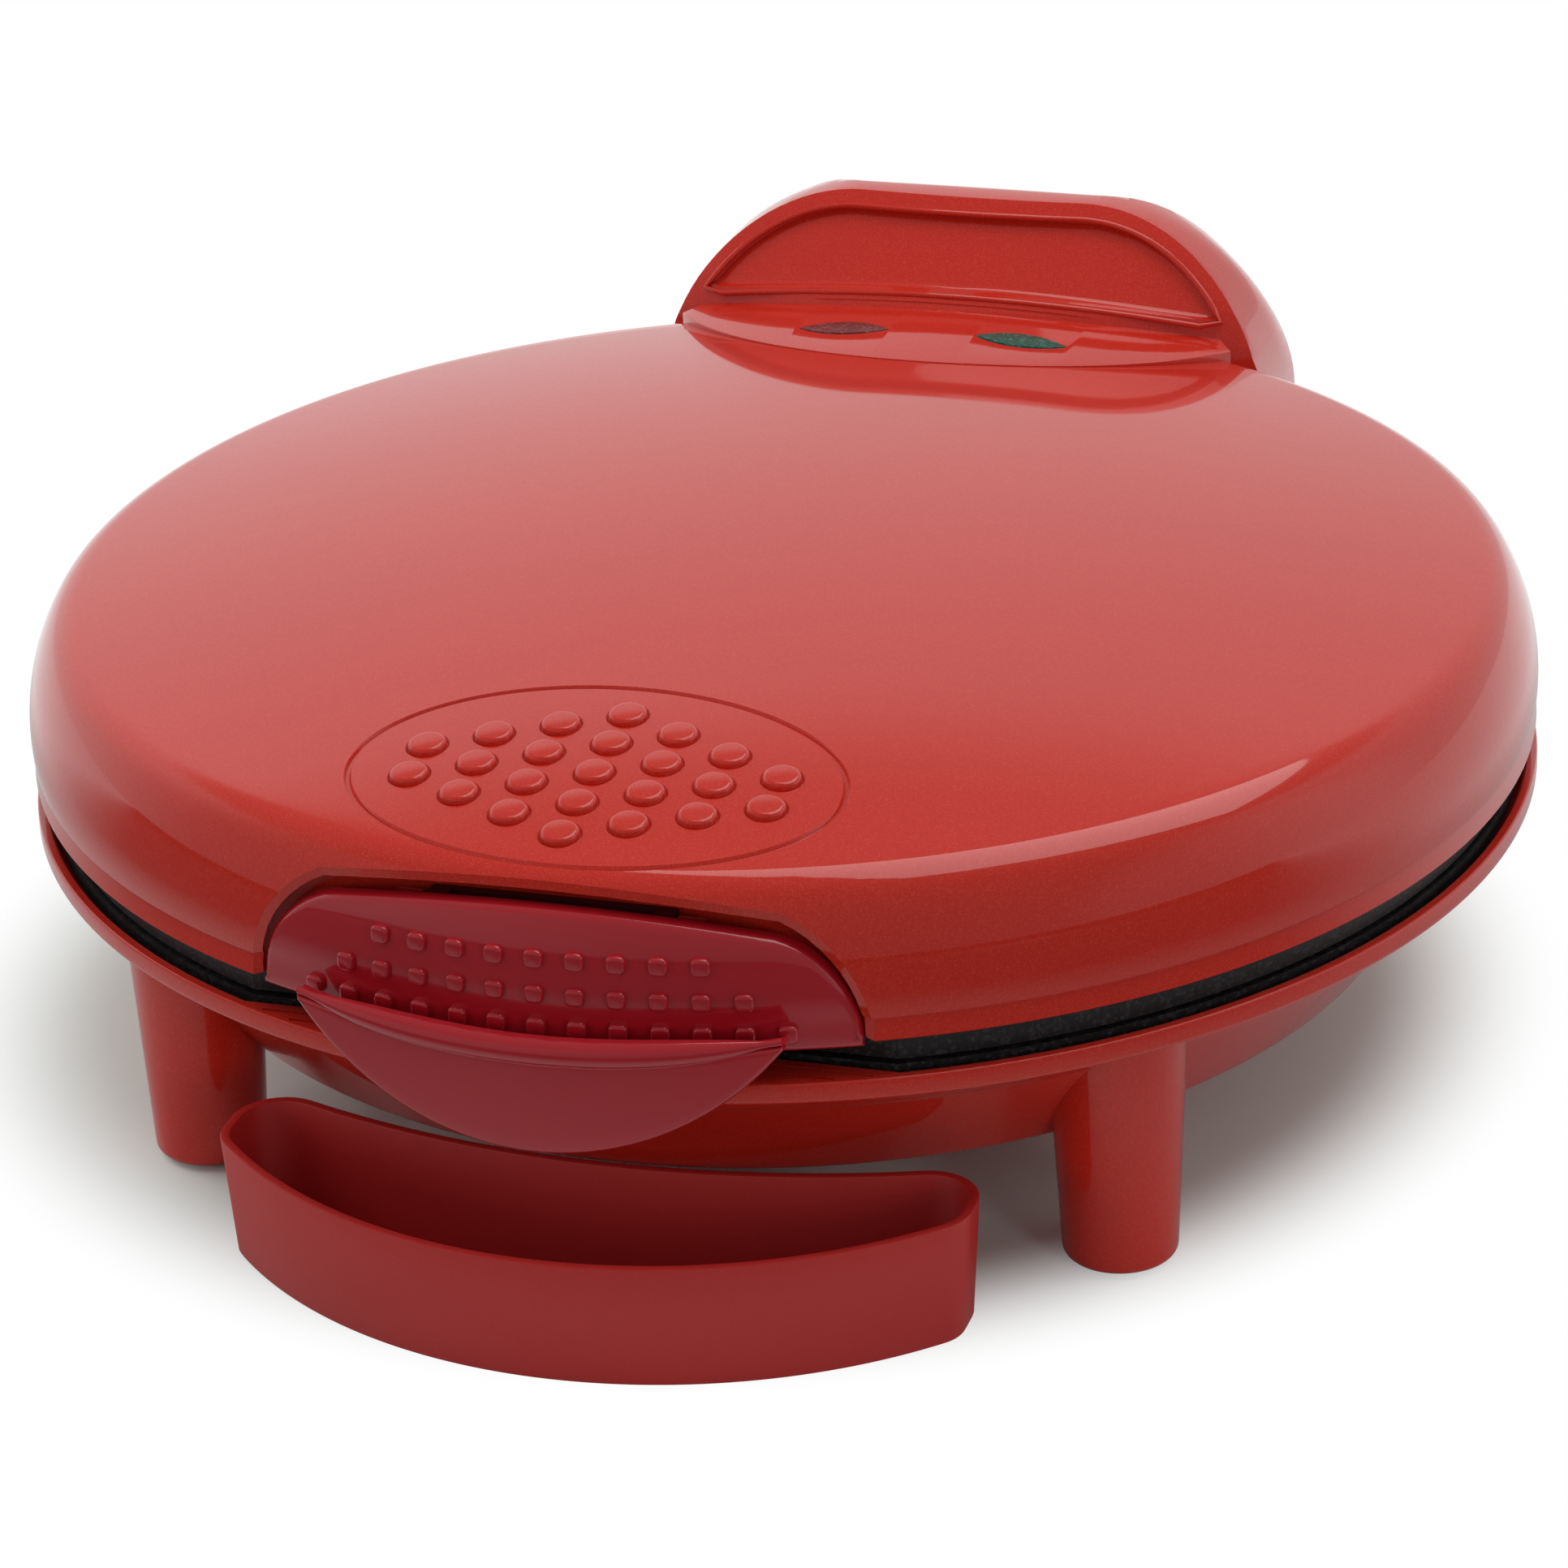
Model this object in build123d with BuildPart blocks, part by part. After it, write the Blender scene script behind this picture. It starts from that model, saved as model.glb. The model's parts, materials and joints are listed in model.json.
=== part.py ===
"""Round countertop quesadilla maker: hinged domed lid, two six-wedge plates, front latch, drip tray.

Millimetres, +Z up, front towards -Y. The origin is on the floor, on the axis of the round body.
"""

from build123d import *
from math import asin, cos, degrees, radians, sin, sqrt
import os

os.makedirs("parts", exist_ok=True)

# ---------------------------------------------------------------- driving sizes
# base housing
rim_radius = 155.0            # outside of the upright lip at the top of the bowl
rim_top = 58.4
rim_lip_height = 4.0
rim_lip_width = 2.4
flare_inset = 12.6            # from the rim in to where the flare turns into the bowl
flare_height = 46.7
bowl_inset = 16.9             # from there in to the flat underside of the bowl
bowl_bottom = 24.3
base_wall = 2.5
bowl_corner = 5.0
ledge_depth = 16.3            # chordal ledge behind the latch, measured in from the rim
vent_count = 10
vent_orbit = 46.0
vent_length = 24.0
vent_width = 3.5
drain_half_width = 6.0
drain_reach = 8.3             # from the ledge's edge to the far side of the drain
drain_drop = 3.0              # channel floor below the plate's cooking floor
drain_slot = 4.5              # width of the slot down to the tray
line_pitch = 2.8              # two fine lines in the ledge
line_width = 0.7

# legs and feet
leg_inset = 21.2              # leg axes inside the rim
leg_top_radius = 13.9
leg_bottom_radius = 11.2
leg_edge = 2.0
foot_radius = 8.0
foot_recess = 2.2
foot_proud = 0.8              # the rubber stands this far out of the leg
foot_chamfer = 0.4

# lid
lid_crown = 111.0
crease_inset = 7.5            # crease inside the rim
crease_height = 96.8
belly_height = 75.0           # height of the skirt's largest radius
band_top = 70.8
band_step = 0.5
band_draft = 0.25             # the band stands this far inside the belly
lid_bottom = 65.8
lid_wall = 2.5

# rear shelf and hump
shelf_height = 105.0
shelf_camber_radius = 420.0   # the shelf falls away to both sides
shelf_front_inset = 55.0      # inside the rim
shelf_tip_x = 71.0
shelf_tip_inset = 31.0
shelf_back_x = 60.0           # hidden end of the shelf inside the hump
shelf_back_inset = 24.0
hump_width = 144.0
hump_top = 124.5
hump_corner = 45.0
hump_reach = 13.0             # back of the hump behind the rim
hump_foot_inset = 25.5
hump_brow_inset = 4.0         # front edge of the hump's flat top
hump_shoulder_reach = 1.0     # where the top starts to round down to the back
hump_edge = 3.0
hump_border = 5.0             # frame round the sunken panel
panel_depth = 2.0
panel_lift = 4.0              # lower border of the panel above the shelf line

# grip pad on the front of the dome
pad_width = 96.0
pad_length = 54.0
pad_inset = 36.5              # centre of the pad inside the rim
pad_groove = 1.2
pad_groove_depth = 0.6
pad_dots_inset = 40.1
pad_dot_radius = 3.3
pad_dot_height = 1.2
pad_pitch_x = 11.78
pad_pitch_y = 9.08

# latch
latch_half_width = 59.0       # at the lid's bottom edge
latch_shoulder_x = 44.0       # half width of the top edge
latch_shoulder_height = 86.5
latch_top = 90.5
latch_side_x = 55.5
latch_side_height = 77.5
latch_inset = 0.8             # outer face behind the lid's skirt
latch_wall = 3.2
latch_bottom = 64.4
latch_back_gap = 1.2          # between the latch and the floor of its recess
recess_gap = 2.2              # between latch and the sides of its recess
recess_headroom = 4.8         # above the latch, so that its top edge can tip back
recess_depth = 15.0           # floor of the recess inside the rim
pull_half_width = 47.5
apron_reach = 6.0             # outermost point of the apron under the bead, outside the rim
pull_reach = 7.0              # outermost point of the bead
pull_lip_height = 66.5
pull_lip_radius = 2.6
pull_end_inset = 0.5
pull_lip_end_height = 68.5
pull_bottom = 45.2
pull_inner_gap = 1.3          # between the rim and the inside of the apron
grip_pitch = 7.85
grip_rows = ((9, 82.0), (11, 75.1), (13, 68.4))    # dots in the row, height
grip_dot = 3.9
grip_dot_height = 1.2
latch_pivot_gap = 3.5         # pin axis in front of the recess floor
latch_pivot_z = 85.5
latch_pin_radius = 1.25
latch_lug_radius = 2.8
latch_lug_x = 27.5
latch_lug_width = 5.0
latch_pin_length = 62.0
latch_clearance = 0.05
bracket_x = 22.0
bracket_width = 4.0
bracket_sheet = 1.4
bracket_foot = 75.5
bracket_screw_x = 12.0
bracket_screw_z = 78.8
bracket_screw_reach = 2.0
catch_half_width = 21.0
catch_height = 52.4           # flat underside of the catch on the rim
catch_depth = 5.0
tooth_gap = 1.0
tooth_height = 2.8
tooth_half_width = 18.0
tooth_inset = 3.8             # edge of the tooth inside the rim

# cooking plates
plate_inset = 3.5             # lower plate inside the rim
upper_inset = 0.9             # upper plate inside the lower one
plate_lip_top = 59.3
plate_lip_width = 4.5
plate_lip_slope = 3.5         # run of the wall inside the lip
plate_lip_step = 1.0
lower_lip_height = 3.1
lower_root_inset = 11.5       # disc inside the plate's lip
upper_root_inset = 9.6
plate_floor_height = 53.3
plate_thickness = 3.0
plate_gap = 0.5               # between the closed plates' lips
upper_skirt_height = 6.7
ridge_width = 5.0
ridge_clearance = 0.5         # ridge tops below the lip
ridge_draft = 8.0             # degrees
plate_chord_gap = 1.2         # between plate edge and the ledge or the recess wall
wedge_count = 6
hub_radius = 9.0
spout_half_width = 5.0
spout_reach = 2.5
spout_thickness = 1.5
notch_half_width = 4.0

# heaters
element_inset = 45.5          # heater inside the bowl's flat underside
element_tube = 3.3
element_clearance = 0.1
element_show = 0.4            # the tube stands this far out of its rib
pin_radius = 1.2
pin_length = 6.0
element_sweep = 320.0
rib_width = 10.4
rib_depth = 7.0

# lower fixing posts and reflector
post_inset = 29.3             # posts inside the bowl's flat underside
post_radius = 6.5
post_neck_radius = 4.8
post_top = 44.0
reflector_height = 37.0
reflector_inset = 23.5
reflector_sheet = 0.8
reflector_rim = 4.0
screw_radius = 1.9
screw_head_radius = 3.8
screw_head_height = 2.4
screw_clearance = 0.15
thread_clearance = 0.05
small_screw_radius = 1.2
small_head_radius = 2.2
small_head_height = 1.0
sunk_head = 0.2

# upper fixing posts
upper_post_radius = 4.6
upper_post_inset = 22.0       # post axes inside the rim
upper_joint = 74.0            # where post and plate boss meet
upper_screw_reach = 14.0
upper_reflector_inset = 14.0
upper_reflector_flange = 17.0
upper_reflector_slope = 12.0
upper_reflector_height = 81.5

# lid hinge
hinge_reach = 3.5             # pin axis behind the rim
hinge_z = 61.5
hinge_pin_radius = 2.5
hinge_clearance = 0.05
hinge_eye_radius = 6.0
ear_x = 55.0
ear_width = 6.0
knuckle_width = 7.5
hinge_side_gap = 0.4
ear_lean = radians(42)        # slope of the ears up to the pin
ear_drop = 3.0
clip_thickness = 1.0
clip_radius = 4.0
clip_clearance = 0.02

# rear cover
cover_width = 84.0
cover_height = 40.0
cover_centre_z = 92.0
cover_thickness = 1.6
cover_margin = 5.0
cover_corner = 2.0
cover_boss = 7.0
cover_boss_radius = 3.0
fit_gap = 0.25                # all round a cover or a lens in its seat

# lamps
lens_width = 20.6
lens_depth = 7.4
lens_x = 20.4
lens_inset = 39.0             # lens centres inside the rim
lens_proud = 0.5
lens_flange = 1.6
lens_foot = 99.5
bulb_radius = 2.6
bulb_length = 8.4
holder_height = 88.0
holder_half_width = 42.0
holder_depth = 12.0
holder_thickness = 1.6
holder_screw_x = 36.0
holder_screw_length = 9.0
holder_boss_radius = 3.2

# thermostat, fuse and terminal block
thermostat_y = 30.0
thermostat_radius = 8.5
thermostat_height = 8.0
blade_x = 4.0
blade_width = 3.0
blade_thickness = 0.6
blade_length = 3.5
fuse_radius = 2.0
fuse_half_length = 12.0
fuse_clip = 1.5
terminal_half_width = 18.0
terminal_inset = 20.0         # front of the block inside the bowl's flat underside
terminal_depth = 12.0
terminal_height = 11.0
terminal_pitch = 9.0
terminal_count = 3
terminal_bore = 2.2

# cord gland
gland_height = 37.0
gland_radius = 6.0
gland_bore = 3.6
gland_flange = 8.5
gland_boss_radius = 10.0
gland_reach = 0.6             # flange behind the foot of the flare
gland_inset = 1.5             # inner end inside the bowl's flat underside
gland_thickness = 2.0

# drip tray
tray_height = 26.0
tray_half_length = 75.5
tray_reach = 13.0             # tray's front outside the rim
tray_front_radius = 101.5
tray_gap = 1.8                # tray's back edge in front of the bowl's flat underside
tray_back_radius = 190.0
tray_corner = 10.0
tray_wall = 2.0
tray_draft = 4.0              # degrees
tray_floor = 2.0


def diagonal(orbit):
    """Four places on the diagonals, at a distance from the axis."""
    return [(x * orbit * sin(radians(45)), y * orbit * sin(radians(45))) for x in (-1, 1) for y in (-1, 1)]


# ---------------------------------------------------------------- worked-out places
flare_radius = rim_radius - flare_inset
bowl_radius = flare_radius - bowl_inset
crease_radius = rim_radius - crease_inset
shelf_front = rim_radius - shelf_front_inset
shelf_tip_y = rim_radius - shelf_tip_inset
shelf_back_y = rim_radius - shelf_back_inset
hump_rear = rim_radius + hump_reach          # the whole object is 2 x hump_rear deep
hump_foot_y = rim_radius - hump_foot_inset
hump_brow_y = rim_radius - hump_brow_inset
hump_shoulder_y = rim_radius + hump_shoulder_reach
pad_centre_y = pad_inset - rim_radius
pad_dots_y = pad_dots_inset - rim_radius
lens_y = rim_radius - lens_inset
recess_floor_y = recess_depth - rim_radius
apron_front_y = -rim_radius - apron_reach
pull_front_y = -rim_radius - pull_reach
pull_end_y = pull_end_inset - rim_radius
pull_inner_radius = rim_radius + pull_inner_gap
latch_pivot_y = recess_floor_y - latch_pivot_gap
tooth_edge_y = tooth_inset - rim_radius
plate_lip_radius = rim_radius - plate_inset
upper_lip_radius = plate_lip_radius - upper_inset
lower_root_radius = plate_lip_radius - lower_root_inset
upper_root_radius = upper_lip_radius - upper_root_inset
element_radius = bowl_radius - element_inset
reflector_radius = bowl_radius - reflector_inset
upper_reflector_radius = rim_radius - upper_reflector_inset
upper_reflector_foot = upper_reflector_radius - upper_reflector_flange
upper_reflector_inner = upper_reflector_foot - upper_reflector_slope
hinge_y = rim_radius + hinge_reach
ear_run = hinge_eye_radius * sin(ear_lean)
ear_rise = hinge_eye_radius * cos(ear_lean)
terminal_y = bowl_radius - terminal_inset
gland_rear_y = flare_radius + gland_reach
gland_inner_y = bowl_radius - gland_inset
tray_front_y = -rim_radius - tray_reach
tray_back_y = -bowl_radius - tray_gap
ledge_y = ledge_depth - rim_radius
lower_chord_y = ledge_y + plate_chord_gap
upper_chord_y = recess_floor_y + lid_wall + plate_chord_gap
plate_back = plate_floor_height - plate_thickness
closing_plane = plate_lip_top + plate_gap / 2
rib_foot = plate_back - rib_depth
element_height = rib_foot + element_tube - element_show
bowl_floor = bowl_bottom + base_wall
screw_seat = bowl_floor + small_head_height
cover_seat_y = hump_rear - cover_thickness - small_head_height
upper_head_seat = plate_floor_height - screw_head_height - sunk_head
knuckle_x = ear_x - ear_width / 2 - hinge_side_gap - knuckle_width / 2
hinge_pin_reach = ear_x + ear_width / 2 + clip_thickness + clip_thickness
leg_places = diagonal(rim_radius - leg_inset)
post_places = diagonal(bowl_radius - post_inset)
upper_places = diagonal(rim_radius - upper_post_inset)
holder_places = [(-holder_screw_x, lens_y), (holder_screw_x, lens_y)]
bracket_places = [(-bracket_screw_x, bracket_screw_z), (bracket_screw_x, bracket_screw_z)]
cover_places = [(x * (cover_width / 2 - cover_margin), cover_centre_z + z * (cover_height / 2 - cover_margin))
                for x in (-1, 1) for z in (-1, 1)]
pad_places = [(pad_pitch_x * column, pad_dots_y + pad_pitch_y * (row - (5 - abs(column) - 1) / 2))
              for column in range(-3, 4) for row in range(5 - abs(column))]


def mirrored(height):
    """Height on the other side of the plane where the closed plates meet."""
    return 2 * closing_plane - height


# ---------------------------------------------------------------- shared forms
def save(builder, name):
    """Label the piece and write its STEP file."""
    builder.part.label = name
    export_step(builder.part, f"parts/{name}.step")


def half_section(*points):
    """Closed half section in the XZ plane from (radius, height) points."""
    with BuildSketch(Plane.XZ) as section:
        with BuildLine():
            Polyline(*points, close=True)
        make_face()
    return section.sketch


def turned(*points):
    """Solid of revolution about Z from (radius, height) points."""
    with BuildPart() as form:
        revolve(half_section(*points), axis=Axis.Z)
    return form.part


def block(x_range, y_range, z_range):
    """Plain box between the given limits."""
    with BuildPart() as form:
        with Locations(((x_range[0] + x_range[1]) / 2, (y_range[0] + y_range[1]) / 2,
                        (z_range[0] + z_range[1]) / 2)):
            Box(x_range[1] - x_range[0], y_range[1] - y_range[0], z_range[1] - z_range[0])
    return form.part


def rod(start, end, radius):
    """Round bar from one point to another."""
    axis = Vector(*end) - Vector(*start)
    with BuildPart() as form:
        with BuildSketch(Plane(origin=start, z_dir=axis)):
            Circle(radius)
        extrude(amount=axis.length)
    return form.part


def dome(inset=0.0, bottom=lid_bottom):
    """Solid dome of the lid, every face moved inwards by inset, cut off flat at bottom."""
    crown = (0, lid_crown - inset)
    crease = (crease_radius - inset, crease_height - inset)
    belly = (rim_radius - inset, belly_height)
    band = (rim_radius - inset - band_draft, band_top)
    step = (band[0] - band_step, band_top - band_step)
    foot = (rim_radius - inset - band_draft, bottom)
    with BuildSketch(Plane.XZ) as section:
        with BuildLine():
            TangentArc(crown, crease, tangent=(1, 0))
            TangentArc(belly, crease, tangent=(0, 1))
            TangentArc(belly, band, tangent=(0, -1))
            Polyline(band, step, foot, (0, bottom), crown)
        make_face()
    with BuildPart() as form:
        revolve(section.sketch, axis=Axis.Z)
    return form.part


def bowl(outer=True):
    """Solid bowl of the base: its outside, or the hollow that is taken out of it."""
    slope = (flare_radius - bowl_radius) / (flare_height - bowl_bottom)
    flare = (rim_radius - flare_radius) / (rim_top - rim_lip_height - flare_height)
    bowl_cut = base_wall * sqrt(1 + slope ** 2)
    flare_cut = base_wall * sqrt(1 + flare ** 2)
    if outer:
        points = ((0, bowl_bottom), (bowl_radius, bowl_bottom), (flare_radius, flare_height),
                  (rim_radius, rim_top - rim_lip_height), (rim_radius, rim_top), (0, rim_top))
        rounded = ((points[1], bowl_corner), (points[2], 2 * base_wall), (points[3], base_wall / 2))
    else:
        mouth = rim_radius - rim_lip_width
        lip_foot = rim_top - rim_lip_height + (flare_cut - rim_lip_width) / flare
        floor = bowl_bottom + base_wall
        points = ((0, floor), (bowl_radius - bowl_cut + base_wall * slope, floor),
                  (flare_radius - (bowl_cut + flare_cut) / 2, flare_height), (mouth, lip_foot),
                  (mouth, rim_top + base_wall), (0, rim_top + base_wall))
        rounded = ((points[1], bowl_corner - base_wall),)
    with BuildSketch(Plane.XZ) as section:
        with BuildLine():
            Polyline(*points, close=True)
        make_face()
        for corner, radius in rounded:
            fillet(section.vertices().sort_by_distance((corner[0], corner[1], 0))[0], radius)
    with BuildPart() as form:
        revolve(section.sketch, axis=Axis.Z)
    return form.part


def hump(inset=0.0, bottom=lid_bottom):
    """Solid hump over the hinge: its front outline crossed with its side profile."""
    half_width = hump_width / 2 - inset
    top = hump_top - inset
    rear = hump_rear - inset
    shoulder_drop = hump_rear - hump_shoulder_y
    with BuildSketch(Plane.XZ.offset(-hump_rear)) as outline:
        with Locations((0, (top + bottom) / 2)):
            Rectangle(2 * half_width, top - bottom)
        fillet(outline.vertices().group_by(Axis.Y)[-1], hump_corner - inset)
    with BuildSketch(Plane.YZ.offset(-hump_width)) as side:
        with BuildLine():
            brow = (hump_brow_y + inset, top)
            shoulder = (hump_shoulder_y, top)
            back = (rear, top - shoulder_drop + inset)
            Line(brow, shoulder)
            RadiusArc(shoulder, back, shoulder_drop - inset)
            Polyline(back, (rear, bottom), (hump_foot_y - hump_border + inset, bottom),
                     (hump_foot_y - hump_border + inset, shelf_height - 2 * hump_border),
                     (hump_foot_y + inset, shelf_height - inset), brow)
        make_face()
    with BuildPart() as form:
        extrude(outline.sketch, amount=hump_rear)
        extrude(side.sketch, amount=2 * hump_width, mode=Mode.INTERSECT)
    return form.part


def shelf(inset=0.0):
    """Cambered lens-shaped slab in front of the hump."""
    half_chord = shelf_tip_x - inset
    rise = shelf_tip_y - shelf_front
    arc_radius = (shelf_tip_x ** 2 + rise ** 2) / (2 * rise)
    centre_y = shelf_front + arc_radius
    depth = sqrt((arc_radius - inset) ** 2 - half_chord ** 2)
    with BuildPart() as form:
        with BuildSketch(Plane.XY.offset(crease_height - lid_wall)):
            with BuildLine():
                ThreePointArc((-half_chord, centre_y - depth), (0, shelf_front + inset),
                              (half_chord, centre_y - depth))
                Polyline((half_chord, centre_y - depth), (shelf_back_x, shelf_back_y),
                         (-shelf_back_x, shelf_back_y), (-half_chord, centre_y - depth))
            make_face()
        extrude(amount=hump_top - crease_height)
        with BuildSketch(Plane.XZ):
            with Locations((0, shelf_height - inset - shelf_camber_radius)):
                Circle(shelf_camber_radius)
        extrude(amount=-hump_rear, mode=Mode.INTERSECT)
    return form.part


def latch_outline(grow=0.0, headroom=0.0, bottom=latch_bottom, floor_y=recess_floor_y):
    """Front view of the latch as a prism from floor_y to the front, grown sideways and upwards."""
    side = (latch_half_width + grow, lid_bottom)
    elbow = (latch_side_x + grow, latch_side_height + headroom / 2)
    shoulder = (latch_shoulder_x + grow / 2, latch_shoulder_height + headroom)
    with BuildSketch(Plane.XZ.offset(-floor_y)) as face:
        with BuildLine():
            Polyline((-side[0], side[1]), (-side[0], bottom), (side[0], bottom), side)
            ThreePointArc(side, elbow, shoulder)
            ThreePointArc(shoulder, (0, latch_top + headroom), (-shoulder[0], shoulder[1]))
            ThreePointArc((-shoulder[0], shoulder[1]), (-elbow[0], elbow[1]), (-side[0], side[1]))
        make_face()
    with BuildPart() as form:
        extrude(face.sketch, amount=hump_rear + floor_y)
    return form.part


def marquise(width, depth):
    """Pointed ellipse made of two equal arcs."""
    with BuildSketch() as shape:
        with BuildLine():
            ThreePointArc((-width / 2, 0), (0, -depth / 2), (width / 2, 0))
            ThreePointArc((width / 2, 0), (0, depth / 2), (-width / 2, 0))
        make_face()
    return shape.sketch


def skirt_radius(height):
    """Outside radius of the lid's skirt at a height between belly and crease."""
    run = rim_radius - crease_radius
    rise = crease_height - belly_height
    arc_radius = (run ** 2 + rise ** 2) / (2 * run)
    return rim_radius - arc_radius + sqrt(arc_radius ** 2 - (height - belly_height) ** 2)


def plate_form(lip_radius, root_radius, chord_y):
    """Disc of a cooking plate lying face up, with the rib on its back that holds the heater tube."""
    with BuildPart() as form:
        add(turned((0, plate_back), (root_radius, plate_back), (root_radius, plate_floor_height),
                   (0, plate_floor_height)))
        add(block((-lip_radius, lip_radius), (-lip_radius, chord_y + plate_lip_width),
                  (plate_back - 1, plate_lip_top)), mode=Mode.SUBTRACT)
        add(turned((element_radius - rib_width / 2, plate_back), (element_radius - rib_width / 2, rib_foot),
                   (element_radius + rib_width / 2, rib_foot), (element_radius + rib_width / 2, plate_back)))
        with BuildSketch(Plane.XZ):
            with Locations((element_radius, element_height)):
                Circle(element_tube + element_clearance)
        revolve(axis=Axis.Z, mode=Mode.SUBTRACT)
    return form.part


def plate_rim(lip_radius, lip_height, root_radius, chord_y):
    """Flared rim round a plate's disc, closed by a straight wall at the front."""
    lip_inside = lip_radius - plate_lip_width
    lip_foot = plate_lip_top - lip_height
    outside = [(root_radius, plate_back), (lip_radius - plate_lip_step, lip_foot), (lip_radius, lip_foot),
               (lip_radius, plate_lip_top)]
    with BuildPart() as form:
        add(turned(*outside, (lip_inside, plate_lip_top), (lip_inside - plate_lip_slope, plate_floor_height),
                   (root_radius, plate_floor_height)))
        add(block((-lip_radius, lip_radius), (-lip_radius, chord_y),
                  (plate_back - 1, plate_lip_top + 1)), mode=Mode.SUBTRACT)
        add(block((-lip_radius, lip_radius), (chord_y, chord_y + plate_lip_width),
                  (plate_back, plate_lip_top)) & turned((0, plate_back), *outside, (0, plate_lip_top)))
    return form.part


def plate_ridges(lip_radius, lip_height, root_radius, chord_y):
    """Hub and radial ridges that part a plate into wedges."""
    lip_inside = lip_radius - plate_lip_width
    with BuildPart() as form:
        with BuildSketch(Plane.XY.offset(plate_floor_height)):
            Circle(hub_radius)
            with PolarLocations(0, wedge_count):
                with Locations((lip_inside / 2, 0)):
                    Rectangle(lip_inside - plate_lip_slope, ridge_width)
        extrude(amount=plate_lip_top - ridge_clearance - plate_floor_height, taper=ridge_draft)
    return form.part - plate_rim(lip_radius, lip_height, root_radius, chord_y)


def upright(places, low, high, radius):
    """Equal round columns standing at the given places."""
    with BuildPart() as form:
        with Locations(*[(x, y, low) for x, y in places]):
            Cylinder(radius, high - low, align=(Align.CENTER, Align.CENTER, Align.MIN))
    return form.part


def screws(places, seat, direction, length, radius=screw_radius, head=screw_head_radius):
    """Pan-head screws: heads lie against seat, shanks run along direction."""
    with BuildPart() as form:
        for x, y in places:
            if direction[1]:
                origin = Vector(x, seat, y)
            else:
                origin = Vector(x, y, seat)
            axis = Vector(*direction)
            add(rod(origin, origin + axis * length, radius))
            add(rod(origin - axis * screw_head_height, origin, head))
    return form.part


def heater():
    """Tubular heater lying under a plate that faces up, cold pins pointing down at the back."""
    gap = radians((360 - element_sweep) / 2)
    with BuildPart() as form:
        with BuildSketch(Plane.XZ):
            with Locations((element_radius, element_height)):
                Circle(element_tube)
        revolve(axis=Axis.Z, revolution_arc=element_sweep)
    with BuildPart() as tube:
        add(form.part.rotate(Axis.Z, 90 + degrees(gap)))
        for side in (-1, 1):
            x = side * element_radius * sin(gap)
            y = element_radius * cos(gap)
            inward = side * pin_radius * 2
            add(rod((x + inward * cos(gap), y - pin_radius * 2 * sin(gap), element_height),
                    (x + inward * cos(gap), y - pin_radius * 2 * sin(gap), element_height - pin_length),
                    pin_radius))
    return tube.part


def hump_panel():
    """Cutter for the sunken panel on the hump's sloping front."""
    run = hump_brow_y - hump_foot_y
    rise = hump_top - shelf_height
    slant = sqrt(run ** 2 + rise ** 2)
    along = Vector(0, run / slant, rise / slant)
    outward = Vector(0, -rise / slant, run / slant)
    low = Vector(0, hump_foot_y, shelf_height) - along * hump_border
    high = Vector(0, hump_brow_y, hump_top) - along * hump_border
    with BuildSketch(Plane.XZ.offset(-hump_rear)) as outline:
        with Locations((0, (hump_top - hump_border + lid_bottom) / 2)):
            Rectangle(hump_width - 2 * hump_border, hump_top - hump_border - lid_bottom)
        fillet(outline.vertices().group_by(Axis.Y)[-1], hump_corner - hump_border)
    corners_yz = [low + outward * hump_border, low - outward * panel_depth,
                  high - outward * panel_depth, high + outward * hump_border]
    with BuildSketch(Plane.YZ.offset(-hump_width)) as slab:
        with BuildLine():
            Polyline(*[(point.Y, point.Z) for point in corners_yz], close=True)
        make_face()
    with BuildPart() as form:
        extrude(outline.sketch, amount=hump_rear)
        extrude(slab.sketch, amount=2 * hump_width, mode=Mode.INTERSECT)
        with BuildSketch(Plane.XZ):
            with Locations((0, shelf_height - shelf_camber_radius)):
                Circle(shelf_camber_radius + panel_lift)
        extrude(amount=-hump_rear, mode=Mode.SUBTRACT)
    return form.part


def pad_ring():
    """Upright elliptical tube through the top of the dome, round the grip pad."""
    with BuildPart() as form:
        with BuildSketch(Plane.XY.offset(crease_height - lid_wall)):
            with Locations((0, pad_centre_y)):
                Ellipse(pad_width / 2, pad_length / 2)
                Ellipse(pad_width / 2 - pad_groove, pad_length / 2 - pad_groove, mode=Mode.SUBTRACT)
        extrude(amount=lid_crown - crease_height + lid_wall)
    return form.part


def pull_apron():
    """Curved apron under the latch: its plan crossed with its bow-shaped front view."""
    with BuildPart() as form:
        with BuildSketch(Plane.XY.offset(pull_bottom)):
            with BuildLine():
                ThreePointArc((-pull_half_width, pull_end_y), (0, apron_front_y),
                              (pull_half_width, pull_end_y))
                Polyline((pull_half_width, pull_end_y), (pull_half_width, recess_floor_y),
                         (-pull_half_width, recess_floor_y), (-pull_half_width, pull_end_y))
            make_face()
        extrude(amount=pull_lip_height - pull_bottom)
        with BuildSketch(Plane.XZ.offset(-recess_floor_y)):
            with BuildLine():
                ThreePointArc((-pull_half_width, pull_lip_height), (0, pull_bottom),
                              (pull_half_width, pull_lip_height))
                Line((pull_half_width, pull_lip_height), (-pull_half_width, pull_lip_height))
            make_face()
        extrude(amount=hump_rear + recess_floor_y, mode=Mode.INTERSECT)
    return form.part


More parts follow.
